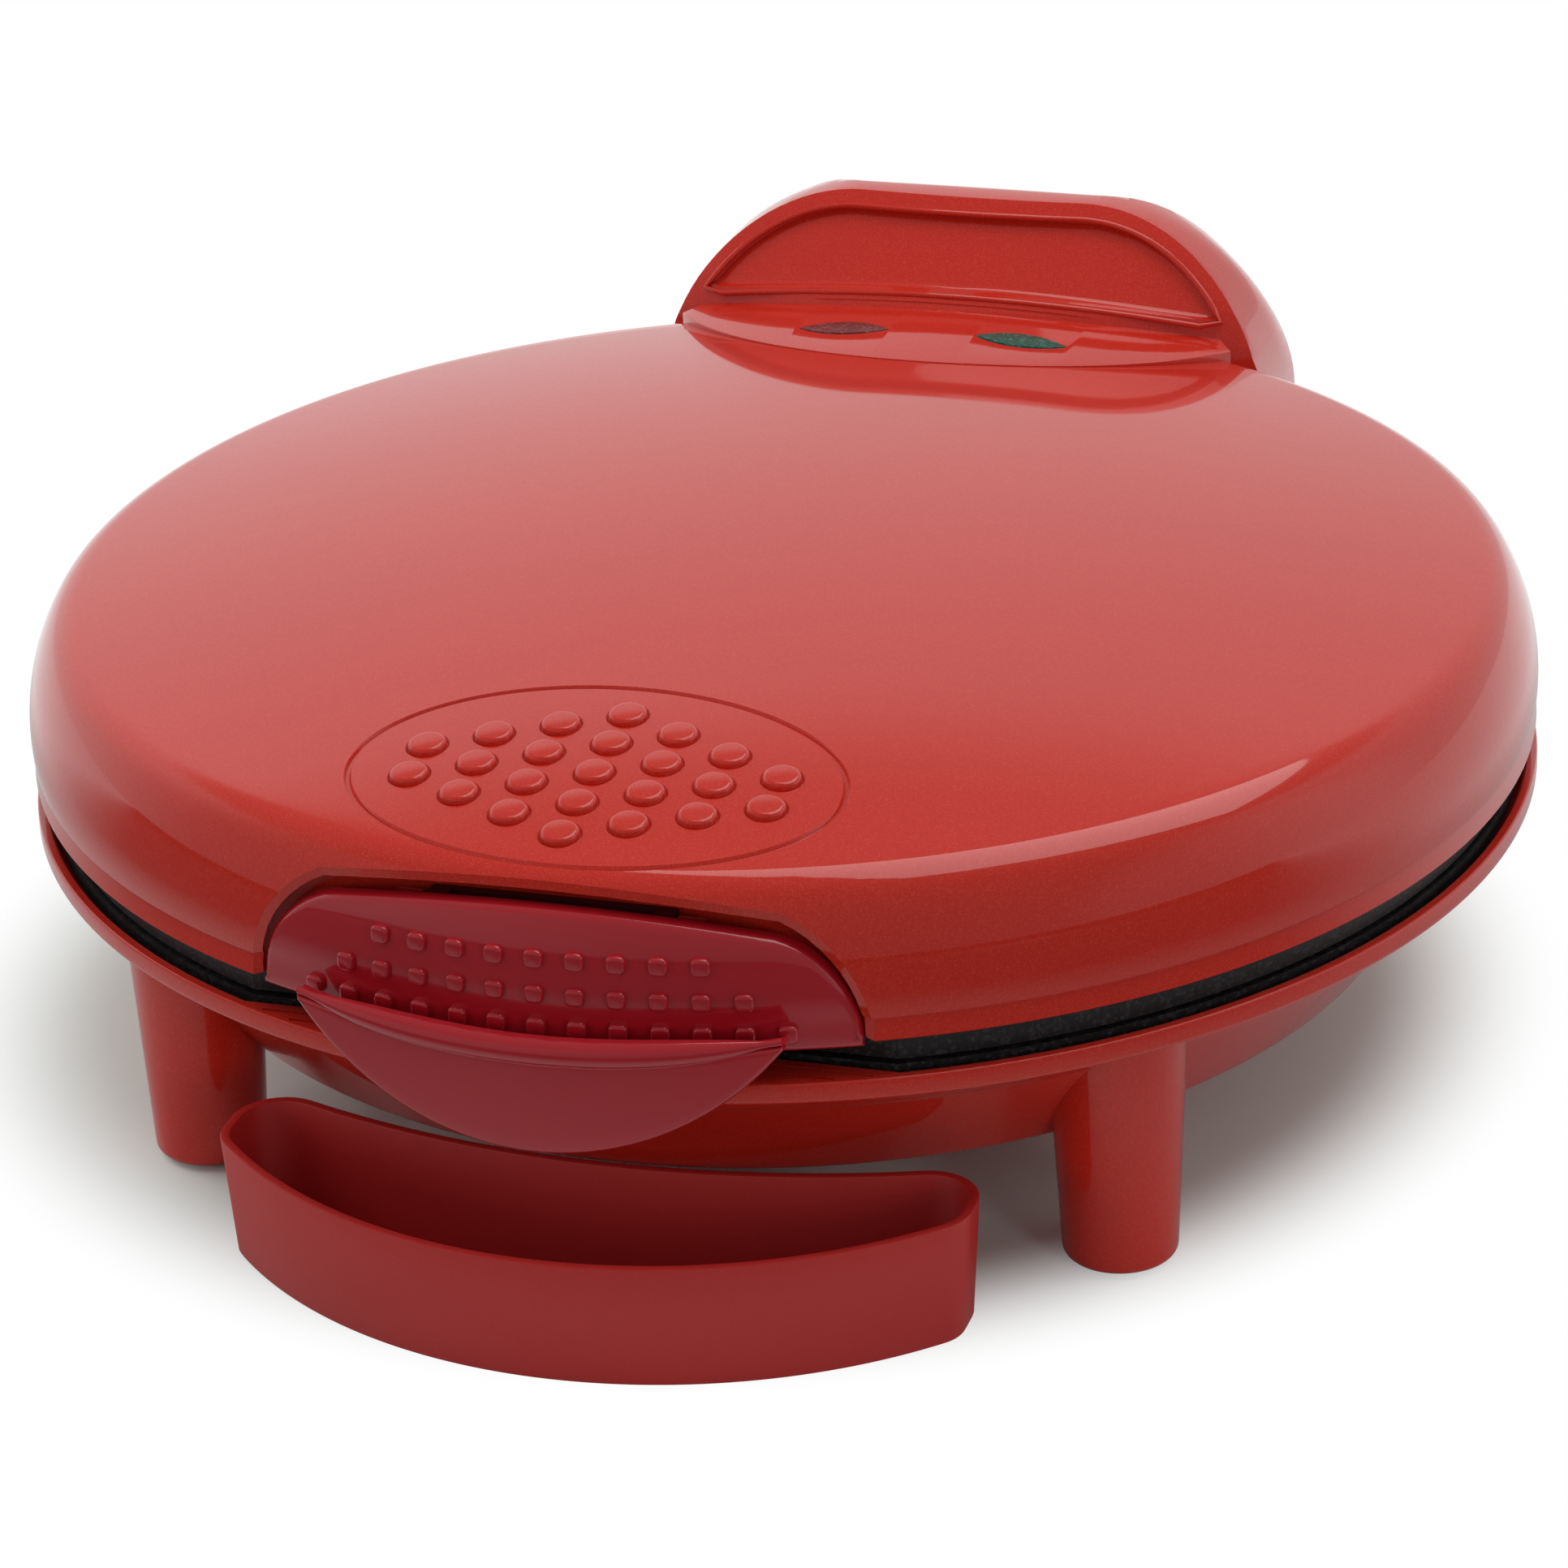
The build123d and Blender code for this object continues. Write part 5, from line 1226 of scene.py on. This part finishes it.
# ------------------------------------------------------------------ latch
@dataclass
class Latch:
    """Crimson latch: curved panel with grip dots, and a crescent-shaped finger pull."""

    shape: LatchShape = field(default_factory=LatchShape)
    dome: Dome = field(default_factory=Dome)
    inset: float = 0.8
    wall: float = 3.2
    rounding: float = 1.3
    dot: float = 3.7
    dot_height: float = 1.15
    dot_pitch: float = 7.85
    dot_rows: tuple[tuple[int, float], ...] = ((9, 82.0), (11, 75.1), (13, 68.4))
    back: float = -140.9
    pull_half_width: float = 47.5
    pull_end_y: float = -154.5
    pull_front_y: float = -161.0
    pull_top: float = 66.0
    pull_bottom: float = 45.4
    pull_wall: float = 4.6
    pull_rise: float = 3.4
    bead_radius: float = 2.9
    bead_front_y: float = -159.6
    bead_height: float = 66.2
    bead_end: Vector = field(default_factory=lambda: Vector((47.2, -153.6, 70.2)))
    tooth: tuple[float, float, float, float] = (18.0, 48.6, 51.4, -151.2)
    pivot: Point = (-143.5, 85.5)
    lug: tuple[float, float, float] = (27.5, 5.0, 2.8)

    def panel(self) -> Form:
        """Curved front panel."""
        upper = self.shape.outline(steps=12)
        upper[0] = (upper[0][0], self.shape.side_foot)
        upper[-1] = (upper[-1][0], self.shape.side_foot)
        lower = [(x, self.shape.bottom) for x, _ in upper]
        form = shield(upper, lower, self._on_skirt, self.wall, self.rounding)
        return form.trim((0.0, self.back, 0.0), (0.0, 1.0, 0.0))

    def _on_skirt(self, x: float, z: float, depth: float) -> tuple[float, float, float]:
        """Place on the panel's curved face, or at a depth below it."""
        height = min(max(z, self.dome.band_top), self.dome.crease_height)
        radius = self.dome.skirt_radius(height) - self.inset - depth
        return (x, -math.sqrt(radius**2 - x**2), z)

    def dots(self) -> Form:
        """Rounded square dots in three rows."""
        form = Form()
        half = self.dot / 2
        square = rounded([(-half, -half), (half, -half), (half, half), (-half, half)], (1.2, 1.2, 1.2, 1.2), 5)
        for count, height in self.dot_rows:
            radius = self.dome.skirt_radius(max(height, self.dome.belly_height - 2)) - self.inset
            for index in range(count):
                angle = (index - (count - 1) / 2) * self.dot_pitch / radius
                turn = Matrix.Rotation(angle, 4, "Z")
                dot = Form.prism(square, Axis.Y, -self.dot_height, self.dot_height)
                dot.round_edges(0.75, 4, lambda e: all(v.co.y < 0 for v in e.verts))
                bmesh.ops.transform(dot.bm, verts=dot.bm.verts,
                                    matrix=turn @ Matrix.Translation((0.0, -radius, height)))
                form.take(dot)
        return form

    def _on_apron(self, x: float, z: float, depth: float) -> tuple[float, float, float]:
        """Place on the apron's curved face, or at a depth below it."""
        centre, radius = circle_through((-self.pull_half_width, self.pull_end_y), (0.0, self.pull_front_y),
                                        (self.pull_half_width, self.pull_end_y))
        return (x, centre[1] - math.sqrt((radius - depth) ** 2 - x**2), z)

    def pull(self) -> Form:
        """Apron, top shelf and tooth of the finger pull."""
        half = self.pull_half_width
        end = self.pull_top + self.pull_rise
        lower = bow((half, end - 0.8), (0.0, self.pull_bottom), (-half, end - 0.8), 48)
        upper = [(x, self.pull_top + self.pull_rise * (x / half) ** 2) for x, _ in lower]
        form = shield(upper, lower, self._on_apron, self.pull_wall, 0.8)
        reach, low, high, edge = self.tooth
        form.take(Form.block((-reach, -157.0, low), (reach, edge, high)))
        plan = [self._on_apron(0.84 * half * (i / 20 - 1), 0.0, 0.6)[:2] for i in range(41)]
        form.take(Form.prism(plan + [(38.0, -149.5), (0.0, -153.0), (-38.0, -149.5)], Axis.Z,
                             self.shape.bottom, self.pull_top - 0.3))
        return form

    def bead(self) -> Form:
        """Round bead along the top of the pull, fading out at both ends."""
        form = Form()
        path = bow((-self.bead_end.x, self.bead_end.y), (0.0, self.bead_front_y), (self.bead_end.x, self.bead_end.y), 72)
        rings = []
        for x, y in path:
            share = abs(x) / self.bead_end.x
            height = self.bead_height + (self.bead_end.z - self.bead_height) * share**2
            size = self.bead_radius * max(1 - share**4, 0.25)
            way = math.atan2(x, 190.0)
            ring = []
            for step in range(24):
                angle = math.tau * step / 24
                out = size * math.cos(angle)
                ring.append((x + out * math.sin(way), y - out * math.cos(way), height + size * math.sin(angle)))
            rings.append(ring)
        return form.loft(rings)

    def lugs(self) -> Form:
        """Lugs that carry the latch on its pin."""
        place, width, radius = self.lug
        y, z = self.pivot
        form = Form()
        for side in (-1, 1):
            low, high = side * place - width / 2, side * place + width / 2
            eye = Form.rod((low, y, z), (high, y, z), radius)
            eye.join(Form.block((low, -146.4, z - radius), (high, y, z + radius)))
            eye.cut(Form.rod((low - 1, y, z), (high + 1, y, z), 1.3))
            form.take(eye)
        return form

    def build(self, materials: dict[str, bpy.types.Material]) -> None:
        """Make the latch's pieces.

        Args:
            materials: Finishes by slot.
        """
        crimson = materials["latch_crimson"]
        for name, form in (("latch_panel", self.panel()), ("latch_grip_dots", self.dots()),
                           ("latch_pull", self.pull()), ("latch_bead", self.bead()), ("latch_lugs", self.lugs())):
            form.finish(name, "latch", "latch_crimson", crimson, ["latch"])


# ------------------------------------------------------------------ base
@dataclass
class Base:
    """Bowl with its flared rim, four legs, the hinge's ears and the cord gland's boss."""

    rim_radius: float = 154.998
    rim_top: float = 58.4
    lip_height: float = 4.0
    lip_width: float = 2.4
    flare: Point = (142.4, 46.7)
    bowl: Point = (125.5, 24.3)
    wall: float = 2.5
    ledge_y: float = -138.7
    leg_place: float = 94.6
    leg_top_radius: float = 13.9
    leg_bottom_radius: float = 11.2
    leg_foot: float = 0.8
    leg_edge: float = 2.0
    foot_radius: float = 8.25
    foot_recess: float = 3.0
    ear: Point = (52.0, 58.0)
    hinge: Point = (158.5, 61.5)
    eye_radius: float = 6.0
    hinge_hole: float = 2.55
    gland_height: float = 37.0
    gland_boss: float = 10.0
    gland_rear: float = 143.0
    gland_hole: float = 6.25
    catch: tuple[float, float, float] = (21.0, 52.4, -150.0)
    drain: tuple[float, float, float, float] = (6.0, 8.3, 4.5, 50.3)
    vents: tuple[int, float, float, float] = (10, 46.0, 24.0, 3.5)
    post_place: float = 68.0
    line_pitch: float = 2.8
    line_width: float = 0.7

    def outside(self) -> Form:
        """Solid outer shape of the bowl."""
        corners = [(0.0, self.bowl[1]), self.bowl, self.flare, (self.rim_radius, self.rim_top - self.lip_height),
                   (self.rim_radius, self.rim_top), (0.0, self.rim_top)]
        return Form.turned(rounded(corners, (0, 5.0, 5.0, 1.25, 0.5, 0)), 240)

    def hollow(self) -> Form:
        """Space inside the bowl, with the straight ledge left standing at the front."""
        lip = self.rim_radius - self.lip_width
        inner = [(0.0, self.bowl[1] + self.wall), (self.bowl[0] - 1.2, self.bowl[1] + self.wall),
                 (self.flare[0] - 4.0, self.flare[1]), (lip, 55.9), (lip, self.rim_top - 0.6),
                 (lip + 0.6, self.rim_top), (lip + 0.6, 90.0), (0.0, 90.0)]
        form = Form.turned(rounded(inner, (0, 2.5, 0, 0, 0, 0, 0, 0)), 160)
        return form.trim((0.0, self.ledge_y, 0.0), (0.0, -1.0, 0.0))

    def leg(self, x: float, y: float) -> Form:
        """Tapered leg, rounded at the floor."""
        form = Form.rod((x, y, self.leg_foot), (x, y, self.rim_top - 1.5), self.leg_bottom_radius,
                        self.leg_top_radius, 72)
        foot = self.leg_foot
        return form.round_edges(self.leg_edge, 5, lambda e: all(abs(v.co.z - foot) < 1e-3 for v in e.verts))

    def ears(self) -> Form:
        """Two ears that carry the hinge pin."""
        y, z = self.hinge
        lean = math.radians(42)
        reach = (self.eye_radius * math.sin(lean), self.eye_radius * math.cos(lean))
        outline = [(125.0, 43.7), (139.4, 43.7), (y + reach[0], z - reach[1]), (y - reach[0], z + reach[1]),
                   (self.flare[0], self.rim_top), (125.0, self.rim_top)]
        form = Form()
        for side in (-1, 1):
            low, high = sorted((side * self.ear[0], side * self.ear[1]))
            ear = Form.prism(outline, Axis.X, low, high)
            ear.join(Form.rod((low, y, z), (high, y, z), self.eye_radius, steps=64))
            form.take(ear)
        return form

    def _openings(self) -> Form:
        """Foot recesses, vents, drain, fine lines and holes."""
        form = Form()
        places = [(x * self.leg_place, y * self.leg_place) for x in (-1, 1) for y in (-1, 1)]
        for x, y in places:
            form.take(Form.rod((x, y, 0.0), (x, y, self.foot_recess), self.foot_radius))
        for x in (-1, 1):
            for y in (-1, 1):
                px, py = x * self.post_place, y * self.post_place
                form.take(Form.rod((px, py, 20.0), (px, py, 27.8), 4.05, steps=32))
        count, orbit, length, width = self.vents
        for step in range(count):
            turn = Matrix.Rotation(math.tau * step / count, 4, "Z")
            reach = (length - width) / 2
            slot = arc((orbit + reach, 0.0), width / 2, -90, 90, 8) + arc((orbit - reach, 0.0), width / 2, 90, 270, 8)
            vent = Form.prism(slot, Axis.Z, 20.0, 30.0)
            bmesh.ops.transform(vent.bm, matrix=turn, verts=vent.bm.verts)
            form.take(vent)
        half, reach, slot_width, floor = self.drain
        channel = Form.block((-half, self.ledge_y - reach, floor), (half, self.ledge_y + 1, 70.0))
        channel.join(Form.block((-half, self.ledge_y - reach, 30.0),
                                (half, self.ledge_y - reach + slot_width, 60.0)))
        form.take(channel)
        for step in (1, 2):
            y = self.ledge_y - step * self.line_pitch
            for side in (-1, 1):
                outer = math.sqrt(self.rim_radius**2 - y**2) - self.line_pitch
                low, high = sorted((side * (half + 1.0), side * outer))
                form.take(Form.block((low, y, self.rim_top - self.line_width),
                                     (high, y + self.line_width, self.rim_top + 1)))
        y, z = self.hinge
        for side in (-1, 1):
            form.take(Form.rod((side * 50.0, y, z), (side * 60.0, y, z), self.hinge_hole))
        form.take(Form.rod((0.0, 122.0, self.gland_height), (0.0, 145.0, self.gland_height), self.gland_hole))
        return form

    def shell(self) -> Form:
        """The whole moulding."""
        form = self.outside()
        legs = Form()
        for x in (-1, 1):
            for y in (-1, 1):
                legs.take(self.leg(x * self.leg_place, y * self.leg_place))
        form.join(legs)
        ears = self.ears()
        ears.take(Form.rod((0.0, 120.0, self.gland_height), (0.0, self.gland_rear, self.gland_height),
                           self.gland_boss, steps=64))
        form.join(ears)
        form.cut(self.hollow())
        half, low, edge = self.catch
        catch = Form.block((-half, -160.0, low), (half, edge, self.rim_top - self.lip_height + 1.0))
        catch.keep(Form.turned([(0.0, 40.0), (self.rim_radius, 40.0), (self.rim_radius, 60.0), (0.0, 60.0)], 240))
        form.join(catch)
        form.cut(self._openings())
        return form

    def build(self, materials: dict[str, bpy.types.Material]) -> None:
        """Make the housing.

        Args:
            materials: Finishes by slot.
        """
        self.shell().finish("base_shell", "base", "body_red", materials["body_red"], ["base_housing"])


# ------------------------------------------------------------------ drip tray
@dataclass
class DripTray:
    """Crescent-shaped tray that stands under the front of the bowl."""

    height: float = 26.0
    half_length: float = 75.5
    front_y: float = -168.0
    front_radius: float = 101.5
    back_y: float = -127.3
    back_radius: float = 190.0
    corner: float = 10.0
    wall: float = 2.0
    floor: float = 2.0
    draft: float = math.radians(4)

    def ring(self, inset: float, height: float) -> list[tuple[float, float, float]]:
        """Closed plan of the tray, moved inwards by inset, at a height."""
        half = self.half_length - inset
        front_centre = self.front_y + self.front_radius
        back_centre = self.back_y + self.back_radius
        front_reach, back_reach = self.front_radius - inset, self.back_radius + inset
        radius = max(self.corner - inset, 3.0)
        fx = half - radius
        front_corner = (fx, front_centre - math.sqrt((front_reach - radius) ** 2 - fx**2))
        back_corner = (fx, back_centre - math.sqrt((back_reach + radius) ** 2 - fx**2))
        tilt_front = math.degrees(math.atan2(front_corner[1] - front_centre, front_corner[0]))
        tilt_back = math.degrees(math.atan2(back_corner[1] - back_centre, back_corner[0]))
        right = arc((0.0, front_centre), front_reach, -90, tilt_front, 30)
        right += arc(front_corner, radius, tilt_front, 0, 10)[1:]
        right += arc(back_corner, radius, 0, 180 + tilt_back, 10)
        right += arc((0.0, back_centre), back_reach, tilt_back, -90, 30)[1:]
        outline = right + [(-x, y) for x, y in reversed(right[1:-1])]
        return [(x, y, height) for x, y in outline]

    def build(self, materials: dict[str, bpy.types.Material]) -> None:
        """Make the tray.

        Args:
            materials: Finishes by slot.
        """
        lean = math.tan(self.draft)
        form = Form()
        rings = [self.ring(self.height * lean + 1.0, 0.0), self.ring(self.height * lean + 0.3, 0.3),
                 self.ring((self.height - 1.0) * lean, 1.0), self.ring(0.4 * lean, self.height - 0.4),
                 self.ring(0.15, self.height - 0.12), self.ring(0.5, self.height),
                 self.ring(self.wall - 0.5, self.height), self.ring(self.wall - 0.15, self.height - 0.12),
                 self.ring(self.wall, self.height - 0.4),
                 self.ring(self.wall + (self.height - self.floor - 2.0) * lean, self.floor + 2.0),
                 self.ring(self.wall + 0.6 + (self.height - self.floor) * lean, self.floor + 0.6),
                 self.ring(self.wall + 2.0 + (self.height - self.floor) * lean, self.floor)]
        form.loft(rings)
        form.finish("crescent_tray", "tray", "tray_red", materials["tray_red"], ["drip_tray"])


# ------------------------------------------------------------------ studio
@dataclass(frozen=True)
class Softbox:
    """One soft lamp.

    Attributes:
        name: Name of the lamp.
        place: Where it hangs, in metres.
        size: Width and height in metres.
        power: Watts.
        aim: Point that it looks at.
        colour: Colour of its light.
        mirrored: Whether glossy surfaces show it.
    """

    name: str
    place: tuple[float, float, float]
    size: tuple[float, float]
    power: float
    aim: tuple[float, float, float] = (0.0, 0.0, 0.06)
    colour: Colour = (1.0, 1.0, 1.0)
    mirrored: bool = True

    def hang(self) -> None:
        """Add the lamp."""
        light = bpy.data.lights.new(self.name, "AREA")
        light.shape, light.size, light.size_y = "RECTANGLE", *self.size
        light.energy, light.color = self.power, self.colour
        obj = bpy.data.objects.new(self.name, light)
        obj.location = self.place
        obj.visible_glossy = self.mirrored
        way = Vector(self.aim) - Vector(self.place)
        obj.rotation_euler = way.to_track_quat("-Z", "Y").to_euler()
        bpy.context.scene.collection.objects.link(obj)


@dataclass
class Studio:
    """Pale floor, soft lamps and camera."""

    azimuth: float = 18.22
    elevation: float = 23.51
    roll: float = -2.47
    distance: float = 1.2
    target: tuple[float, float, float] = (0.0, 0.0, 0.08)
    lens: float = 133.42
    shift: tuple[float, float] = (0.0014, -0.0920)
    world_level: float = 0.27
    backdrop_glow: float = 0.45
    left_glow: float = 0.14
    right_glow: float = 0.22
    floor_size: float = 12.0
    floor_seen: Colour = (0.84, 0.97, 0.91)
    floor_bounce: Point = (0.72, 0.15)
    bounce_reach: Point = (0.20, 0.32)
    shadow_reach: Point = (0.130, 0.175)
    shadow_centre: tuple[float, float, float] = (-0.012, 0.004, 0.0)
    mirror_reach: Point = (-0.12, 0.12)
    mirror_start: Point = (0.20, 0.32)
    softboxes: tuple[Softbox, ...] = (
        Softbox("top_right", (0.40, 0.40, 1.60), (1.6, 1.2), 13.0),
        Softbox("top_left", (-1.15, -0.10, 1.25), (1.0, 1.0), 7.0, mirrored=False),
        Softbox("front_right", (1.15, -1.05, 0.30), (0.30, 0.5), 2.6, mirrored=False),
        Softbox("front_left", (-1.05, -1.15, 0.32), (0.30, 0.5), 1.6, mirrored=False),
    )

    def camera(self) -> None:
        """Set the camera."""
        data = bpy.data.cameras.new("camera")
        data.lens, data.sensor_width = self.lens, 36.0
        data.shift_x, data.shift_y = self.shift
        obj = bpy.data.objects.new("camera", data)
        a, e, roll = (math.radians(v) for v in (self.azimuth, self.elevation, self.roll))
        back = Vector((math.sin(a) * math.cos(e), -math.cos(a) * math.cos(e), math.sin(e)))
        right = Vector((math.cos(a), math.sin(a), 0.0))
        up = back.cross(right)
        side = right * math.cos(roll) + up * math.sin(roll)
        over = up * math.cos(roll) - right * math.sin(roll)
        turn = Matrix((side, over, back)).transposed().to_4x4()
        obj.matrix_world = Matrix.Translation(Vector(self.target) + back * self.distance) @ turn
        bpy.context.scene.collection.objects.link(obj)
        bpy.context.scene.camera = obj

    def floor(self) -> None:
        """Pale floor that keeps the shadow near the object and goes white further out."""
        form = bmesh.new()
        bmesh.ops.create_grid(form, x_segments=2, y_segments=2, size=self.floor_size / 2)
        mesh = bpy.data.meshes.new("floor")
        form.to_mesh(mesh)
        form.free()
        obj = bpy.data.objects.new("floor", mesh)
        bpy.context.scene.collection.objects.link(obj)
        mesh.materials.append(self._floor_material())

    def _floor_material(self) -> bpy.types.Material:
        """Matt white under the object, plain white beyond it for rays that see the background."""
        material = bpy.data.materials.new("floor_white")
        material.use_nodes = True
        tree = material.node_tree
        link = tree.links.new
        shader = tree.nodes["Principled BSDF"]
        shader.inputs["Roughness"].default_value = 0.9
        shader.inputs["Specular IOR Level"].default_value = 0.0
        path = tree.nodes.new("ShaderNodeLightPath")
        glow = tree.nodes.new("ShaderNodeEmission")
        place = tree.nodes.new("ShaderNodeTexCoord")
        length = tree.nodes.new("ShaderNodeVectorMath")
        length.operation = "LENGTH"
        centred = tree.nodes.new("ShaderNodeVectorMath")
        centred.operation = "SUBTRACT"
        centred.inputs[1].default_value = self.shadow_centre
        link(place.outputs["Object"], centred.inputs[0])
        link(centred.outputs["Vector"], length.inputs[0])
        near = self._fade(tree, length.outputs["Value"], self.shadow_reach)
        bounce = tree.nodes.new("ShaderNodeMapRange")
        bounce.inputs["From Min"].default_value, bounce.inputs["From Max"].default_value = self.bounce_reach
        bounce.inputs["To Min"].default_value, bounce.inputs["To Max"].default_value = self.floor_bounce
        link(length.outputs["Value"], bounce.inputs["Value"])
        tone = tree.nodes.new("ShaderNodeMix")
        tone.data_type = "RGBA"
        tone.inputs[7].default_value = (*self.floor_seen, 1)
        link(path.outputs["Is Camera Ray"], tone.inputs["Factor"])
        link(bounce.outputs["Result"], tone.inputs[6])
        link(tone.outputs[2], shader.inputs["Base Color"])
        parts = tree.nodes.new("ShaderNodeSeparateXYZ")
        link(place.outputs["Object"], parts.inputs[0])
        beyond = self._fade(tree, length.outputs["Value"], self.mirror_start)
        rear = self._fade(tree, parts.outputs["Y"], self.mirror_reach)
        behind = tree.nodes.new("ShaderNodeMath")
        behind.operation = "MULTIPLY"
        link(beyond, behind.inputs[0])
        link(rear, behind.inputs[1])
        seen = tree.nodes.new("ShaderNodeMix")
        link(path.outputs["Is Glossy Ray"], seen.inputs["Factor"])
        link(near, seen.inputs[2])
        link(behind.outputs[0], seen.inputs[3])
        sharp = tree.nodes.new("ShaderNodeMath")
        sharp.operation = "MAXIMUM"
        link(path.outputs["Is Camera Ray"], sharp.inputs[0])
        link(path.outputs["Is Transmission Ray"], sharp.inputs[1])
        direct = tree.nodes.new("ShaderNodeMath")
        direct.operation = "MAXIMUM"
        link(sharp.outputs[0], direct.inputs[0])
        link(path.outputs["Is Glossy Ray"], direct.inputs[1])
        share = tree.nodes.new("ShaderNodeMath")
        share.operation = "MULTIPLY"
        link(direct.outputs[0], share.inputs[0])
        link(seen.outputs[0], share.inputs[1])
        mix = tree.nodes.new("ShaderNodeMixShader")
        link(share.outputs[0], mix.inputs["Fac"])
        link(shader.outputs["BSDF"], mix.inputs[1])
        link(glow.outputs["Emission"], mix.inputs[2])
        link(mix.outputs["Shader"], tree.nodes["Material Output"].inputs["Surface"])
        return material

    @staticmethod
    def _fade(tree: bpy.types.NodeTree, value: bpy.types.NodeSocket, reach: Point) -> bpy.types.NodeSocket:
        """Soft step from 0 to 1 between two values."""
        fade = tree.nodes.new("ShaderNodeMapRange")
        fade.interpolation_type = "SMOOTHSTEP"
        fade.inputs["From Min"].default_value, fade.inputs["From Max"].default_value = reach
        tree.links.new(value, fade.inputs["Value"])
        return fade.outputs["Result"]

    def world(self) -> None:
        """Even light from all round, brighter low down behind the object and on its left."""
        world = bpy.data.worlds.new("studio")
        world.use_nodes = True
        tree = world.node_tree
        link = tree.links.new
        way = tree.nodes.new("ShaderNodeTexCoord")
        parts = tree.nodes.new("ShaderNodeSeparateXYZ")
        link(way.outputs["Generated"], parts.inputs[0])
        low = self._fade(tree, parts.outputs["Z"], (0.70, 0.58))
        level: bpy.types.NodeSocket | None = None
        for axis, reach, strength in (("Y", (-0.3, 0.3), self.backdrop_glow), ("X", (0.0, -0.6), self.left_glow),
                                     ("X", (0.80, 0.93), self.right_glow)):
            side = self._fade(tree, parts.outputs[axis], reach)
            both = tree.nodes.new("ShaderNodeMath")
            both.operation = "MULTIPLY"
            link(low, both.inputs[0])
            link(side, both.inputs[1])
            term = tree.nodes.new("ShaderNodeMath")
            term.operation = "MULTIPLY_ADD"
            link(both.outputs[0], term.inputs[0])
            term.inputs[1].default_value = strength
            term.inputs[2].default_value = self.world_level
            if level is not None:
                link(level, term.inputs[2])
            level = term.outputs[0]
        path = tree.nodes.new("ShaderNodeLightPath")
        shown = tree.nodes.new("ShaderNodeMath")
        shown.operation = "MAXIMUM"
        link(level, shown.inputs[0])
        link(path.outputs["Is Camera Ray"], shown.inputs[1])
        link(shown.outputs[0], tree.nodes["Background"].inputs["Strength"])
        tree.nodes["Background"].inputs["Color"].default_value = (1.0, 1.0, 1.0, 1)
        bpy.context.scene.world = world

    def build(self) -> None:
        """Set up everything round the object."""
        self.camera()
        self.floor()
        self.world()
        for softbox in self.softboxes:
            softbox.hang()
        bpy.context.scene.view_settings.view_transform = "Standard"


def dress_nodes(materials: dict[str, bpy.types.Material]) -> None:
    """Give every frame node the finish of its slot.

    Args:
        materials: Finishes by slot.
    """
    slots = {entry["node"]: entry["material_slot"] for entry in frame["record"]["subparts"]}
    for name, node in frame["nodes"].items():
        for holder in node.material_slots:
            holder.material = materials[slots[name]]
        log.info("%s: dressed as %s", name, slots[name])


def main() -> None:
    """Build every sub-assembly in order."""
    logging.basicConfig(level=logging.INFO)
    effects = Effects()
    palette = Palette()
    materials = {finish.name: finish.material(effects) for finish in vars(palette).values()}
    Studio().build()
    dress_nodes(materials)
    for part in (Base(), Lid(), Lamps(), Latch(), DripTray()):
        part.build(materials)
        log.info("built %s", type(part).__name__)


if __name__ == "__main__":
    main()
